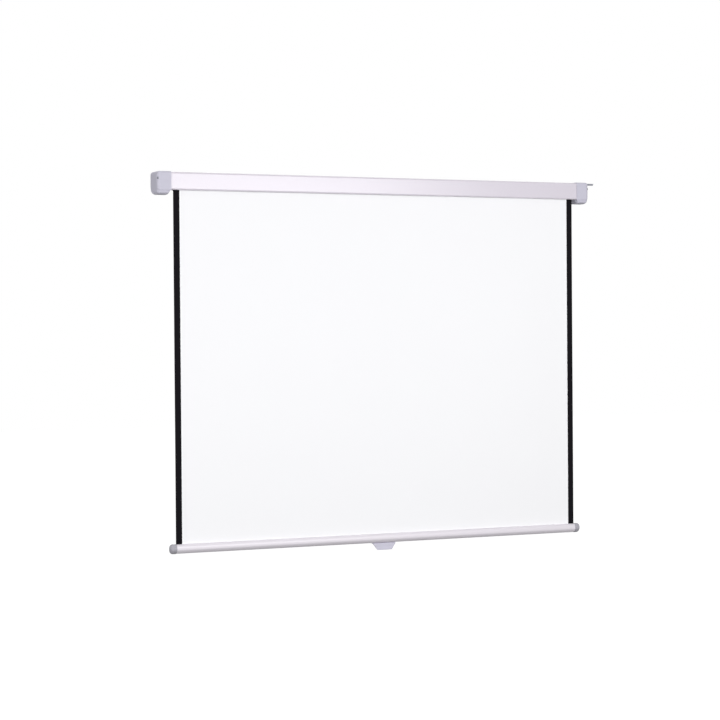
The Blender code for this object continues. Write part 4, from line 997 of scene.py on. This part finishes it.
class SpringBuilder(Operator):
    """Torsion spring that winds the fabric up"""

    bl_idname = "projector_screen.torsion_spring"
    bl_label = "Torsion Spring"

    def execute(self, context):
        start, end = SPRING_LOW.x + SPRING_WIRE_RADIUS, SPRING_HIGH.x - SPRING_WIRE_RADIUS
        values = {
            "Radius": (SPRING_HIGH.z - SPRING_LOW.z) / 2 - SPRING_WIRE_RADIUS,
            "Wire Radius": SPRING_WIRE_RADIUS,
            "Length": end - start,
            "Curls": SPRING_CURLS,
            "Points A Curl": 24,
            "Material": finish("spring_steel"),
        }
        spring = grow("torsion_spring_wire", helix_tree(), values)
        spring.data.transform(Matrix.Translation((start, AXIS_Y, 0)))
        install(spring, "spring_steel", "case", "torsion_spring", flat=False)
        return {"FINISHED"}


# Bottom bar


def keyhole(radius, half_neck, top):
    """A round pocket with a neck that opens upwards, as one outline round its own centre."""
    tilt = acos(half_neck / radius)
    return arc((0, 0), radius, pi - tilt, 2 * pi + tilt, 32) + [(half_neck, top), (-half_neck, top)]


def placed(outline, z=BAR_MIDDLE):
    """An outline drawn round the bar's middle, or at another height in it."""
    return [(BAR_Y + a, z + b) for a, b in outline]


class BottomBarBuilder(Operator):
    """Oval extruded bar with the pocket that grips the fabric's beaded hem"""

    bl_idname = "projector_screen.bottom_bar"
    bl_label = "Bottom Bar"

    def execute(self, context):
        def along(name, outline, overrun):
            return section(name, outline, BAR_LOW.x - overrun, BAR_HIGH.x + overrun)

        pocket_z = BAR_MIDDLE + HALF_HEIGHT - POCKET_BELOW_TOP
        inside = bar_outline(HALF_DEPTH - BAR_WALL, HALF_HEIGHT - BAR_WALL, 96)
        wall = keyhole(POCKET_RADIUS + POCKET_WALL, POCKET_NECK / 2 + POCKET_WALL, POCKET_BELOW_TOP)
        groove = keyhole(POCKET_RADIUS, POCKET_NECK / 2, POCKET_BELOW_TOP + 0.002)
        bar = along("bottom_bar_extrusion", placed(bar_outline(HALF_DEPTH, HALF_HEIGHT, 144)), 0.0)
        hollow = along("bar_hollow", placed(inside), 0.01)
        cut(hollow, along("pocket_wall", placed(wall, pocket_z), 0.02))
        cut(bar, hollow, along("pocket", placed(groove, pocket_z), 0.01))
        dress(bar, "white_painted_aluminium")
        install(bar, "white_painted_aluminium", "bottom_bar", "slat_profile")
        return {"FINISHED"}


class BarPlugBuilder(Operator):
    """Round-ended plugs that close the bar"""

    bl_idname = "projector_screen.bar_plugs"
    bl_label = "Bar Plugs"

    def execute(self, context):
        start, end = HALF_FABRIC + GAP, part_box("slat_right_plug")[1].x
        half_depth, half_height = HALF_DEPTH + PLUG_PROUD, HALF_HEIGHT + PLUG_PROUD
        bevel = ((0, 1), (0.3, 0.3), (1, 0))
        stations = [(start + PLUG_EDGE * along, PLUG_EDGE * inset) for along, inset in bevel]
        for i in range(17):
            t = pi / 2 * i / 16
            stations.append((end - PLUG_ROUNDING * (1 - sin(t)), PLUG_ROUNDING * (1 - cos(t))))
        room = BAR_WALL + 2 * GAP
        stub_top = HALF_HEIGHT - POCKET_BELOW_TOP - POCKET_RADIUS - POCKET_WALL - GAP
        inside = bar_outline(HALF_DEPTH - room, HALF_HEIGHT - room, 64)
        stub_outline = placed([(y, min(z, stub_top)) for y, z in inside])
        for name, side in SIDES:
            rows = []
            for x, inset in stations:
                outline = placed(bar_outline(half_depth - inset, half_height - inset, 96))
                rows.append([(side * x, y, z) for y, z in reversed(outline)])
            plug = loft(f"{name}_bar_plug", rows, "dark_grey_moulded_plastic", ring=True)
            settle(plug)
            reach = sorted((side * (HALF_FABRIC - STUB_LENGTH), side * (start + 0.002)))
            combine(plug, "UNION", section("plug_stub", stub_outline, *reach))
            install(plug, "dark_grey_moulded_plastic", "bottom_bar", f"slat_{name}_plug")
        return {"FINISHED"}


# Pull handle


def handle_path():
    """The handle's middle surface from the side: along the bar's underside, down, then out to a lip."""
    half = HANDLE_THICKNESS / 2
    lift = GAP + half
    # Of 288 points round the bar, those on its underside that the handle's root lies against
    under = placed(bar_outline(HALF_DEPTH + lift, HALF_HEIGHT + lift, 288)[232:219:-2])
    end_z = BAR_LOW.z - HANDLE_HEIGHT
    corners = [
        (*under[-1], 0.0),
        (HANDLE_ROOT_Y, under[-1][1] - 0.0006, 0.0030),
        (HANDLE_ROOT_Y - 0.0010, end_z + 0.0100, 0.0120),
        (HANDLE_ROOT_Y - HANDLE_LIP * 0.45, end_z + half, 0.0040),
        (HANDLE_ROOT_Y - HANDLE_LIP, end_z + half + 0.0015, 0.0),
    ]
    return under + rounded_path(corners, 10)[1:]


class PullHandleBuilder(Operator):
    """Moulded tongue under the middle of the bar, tapering to a forward lip"""

    bl_idname = "projector_screen.pull_handle"
    bl_label = "Pull Handle"

    def execute(self, context):
        path = handle_path()
        lengths = [0.0]
        for (y0, z0), (y1, z1) in zip(path, path[1:]):
            lengths.append(lengths[-1] + hypot(y1 - y0, z1 - z0))
        bar_line, end_z = BAR_LOW.z - GAP - HANDLE_THICKNESS, min(z for _, z in path)
        top_half, end_half = HANDLE_HALF_WIDTHS
        columns = 36
        rows = []
        for (y, z), length in zip(path, lengths):
            share = min(max((bar_line - z) / (bar_line - end_z), 0.0), 1.0)
            half = top_half + (end_half - top_half) * share
            into_corner = max(HANDLE_CORNER - (lengths[-1] - length), 0.0)
            half -= HANDLE_CORNER - sqrt(HANDLE_CORNER**2 - into_corner**2)
            rows.append([(half * (2 * i / columns - 1), y, z) for i in range(columns + 1)])
        handle = loft("pull_handle_tongue", rows, "grey_moulded_plastic")
        thicken(handle, HANDLE_THICKNESS, 0.0)
        soften_edges(handle, 0.0010, 4)
        settle(handle)
        low, high = BAR_LOW.z - 0.01, BAR_LOW.z + 0.006
        holes = [
            cylinder("handle_hole", HANDLE_HOLE_RADIUS, (x, SCREW_Y, low), (x, SCREW_Y, high))
            for x in (-HANDLE_SCREW_X, HANDLE_SCREW_X)
        ]
        cut(handle, *holes)
        install(handle, "grey_moulded_plastic", "bottom_bar", "pull_handle")
        return {"FINISHED"}


# Finishes of the CAD pieces that stay


class FrameFinisher(Operator):
    """Gives each CAD piece that still shows the material of its slot"""

    bl_idname = "projector_screen.frame_finishes"
    bl_label = "Frame Finishes"

    def execute(self, context):
        slots = {part["node"]: part["material_slot"] for part in frame["record"]["subparts"]}
        for name, obj in frame["nodes"].items():
            dress(obj, slots[name])
        return {"FINISHED"}


# Stage


def softbox(name, place, target, size, power):
    light = bpy.data.lights.new(name, "AREA")
    light.shape = "RECTANGLE"
    light.size, light.size_y = size
    light.energy = power
    obj = show(name, light)
    obj.location = place
    obj.visible_camera = False
    obj.rotation_euler = (Vector(place) - Vector(target)).to_track_quat("Z", "Y").to_euler()


class StageBuilder(Operator):
    """White floor and surroundings, soft light, and the camera at the photograph's angle"""

    bl_idname = "projector_screen.stage"
    bl_label = "Stage"

    def execute(self, context):
        scene, settings = context.scene, context.scene.projector_screen.stage
        scene.view_settings.view_transform = "Standard"
        scene.world = bpy.data.worlds.new("white_room")
        scene.world.use_nodes = True
        tree = scene.world.node_tree
        strength = seen_directly(tree, settings.sky, 1.0)
        fill(tree, tree.nodes["Background"], {"Color": (1, 1, 1, 1), "Strength": strength})

        edges = (-30.0, 30.0)
        floor = loft("floor", [[(x, y, settings.floor_height) for y in edges] for x in edges])
        floor.data.materials.append(new_material("white_studio_floor", studio_floor))

        softbox("front_light", (-2.5, -5.5, -0.5), (0.0, 0.0, -0.6), (2.5, 1.6), settings.key_power)
        softbox("gloss_light", (1.15, -4.6, -0.05), (0.3, 0.0, -0.8), (2.4, 1.6), settings.gloss_power)
        softbox("side_light", (-4.2, -1.4, -0.4), (-0.95, 0.0, -0.3), (2.0, 2.0), settings.side_power)
        softbox("back_light", (0.4, 5.5, 0.4), (0.0, 0.0, -0.6), (3.0, 2.0), settings.back_power)
        softbox("top_light", (0.0, 0.6, 3.4), (0.0, 0.0, 0.0), (3.0, 1.6), settings.top_power)

        # Place, yaw, pitch from straight down and roll, fitted to the lines of the photograph
        scene.camera = show("camera", bpy.data.cameras.new("camera"))
        scene.camera.data.sensor_width = 36.0
        scene.camera.data.lens = 103.86
        scene.camera.data.clip_end = 100.0
        place = Matrix.Translation((-3.6913, -7.6822, -0.5940))
        for degrees, axis in ((-25.210, "Z"), (89.241, "X"), (-0.4131, "Z")):
            place @= Matrix.Rotation(radians(degrees), 4, axis)
        scene.camera.matrix_world = place
        return {"FINISHED"}


class ProjectorScreenPanel(Panel):
    """Sizes, colours and builders of the projector screen"""

    bl_idname = "VIEW3D_PT_projector_screen"
    bl_label = "Projector Screen"
    bl_space_type = "VIEW_3D"
    bl_region_type = "UI"
    bl_category = "Projector Screen"

    def draw(self, context):
        settings = context.scene.projector_screen
        for group in (settings.case, settings.fabric, settings.metal, settings.stage):
            box = self.layout.box()
            for name in group.bl_rna.properties.keys():
                if name not in ("rna_type", "name"):
                    box.prop(group, name)
        for builder in BUILDERS:
            self.layout.operator(builder.bl_idname)


BUILDERS = (
    FrameFinisher,
    CaseShellBuilder,
    EndCapBuilder,
    FastenerBuilder,
    FabricRollBuilder,
    FabricBuilder,
    SpringBuilder,
    BottomBarBuilder,
    BarPlugBuilder,
    PullHandleBuilder,
    StageBuilder,
)
SETTINGS = (CaseSettings, FabricSettings, MetalSettings, StageSettings, ProjectorScreenSettings)


def register():
    for cls in (*SETTINGS, *BUILDERS, ProjectorScreenPanel):
        bpy.utils.register_class(cls)
    bpy.types.Scene.projector_screen = PointerProperty(type=ProjectorScreenSettings)


def unregister():
    del bpy.types.Scene.projector_screen
    for cls in reversed((*SETTINGS, *BUILDERS, ProjectorScreenPanel)):
        bpy.utils.unregister_class(cls)


def main():
    register()
    for builder in BUILDERS:
        getattr(bpy.ops.projector_screen, builder.bl_idname.split(".")[1])()


if __name__ == "__main__":
    main()
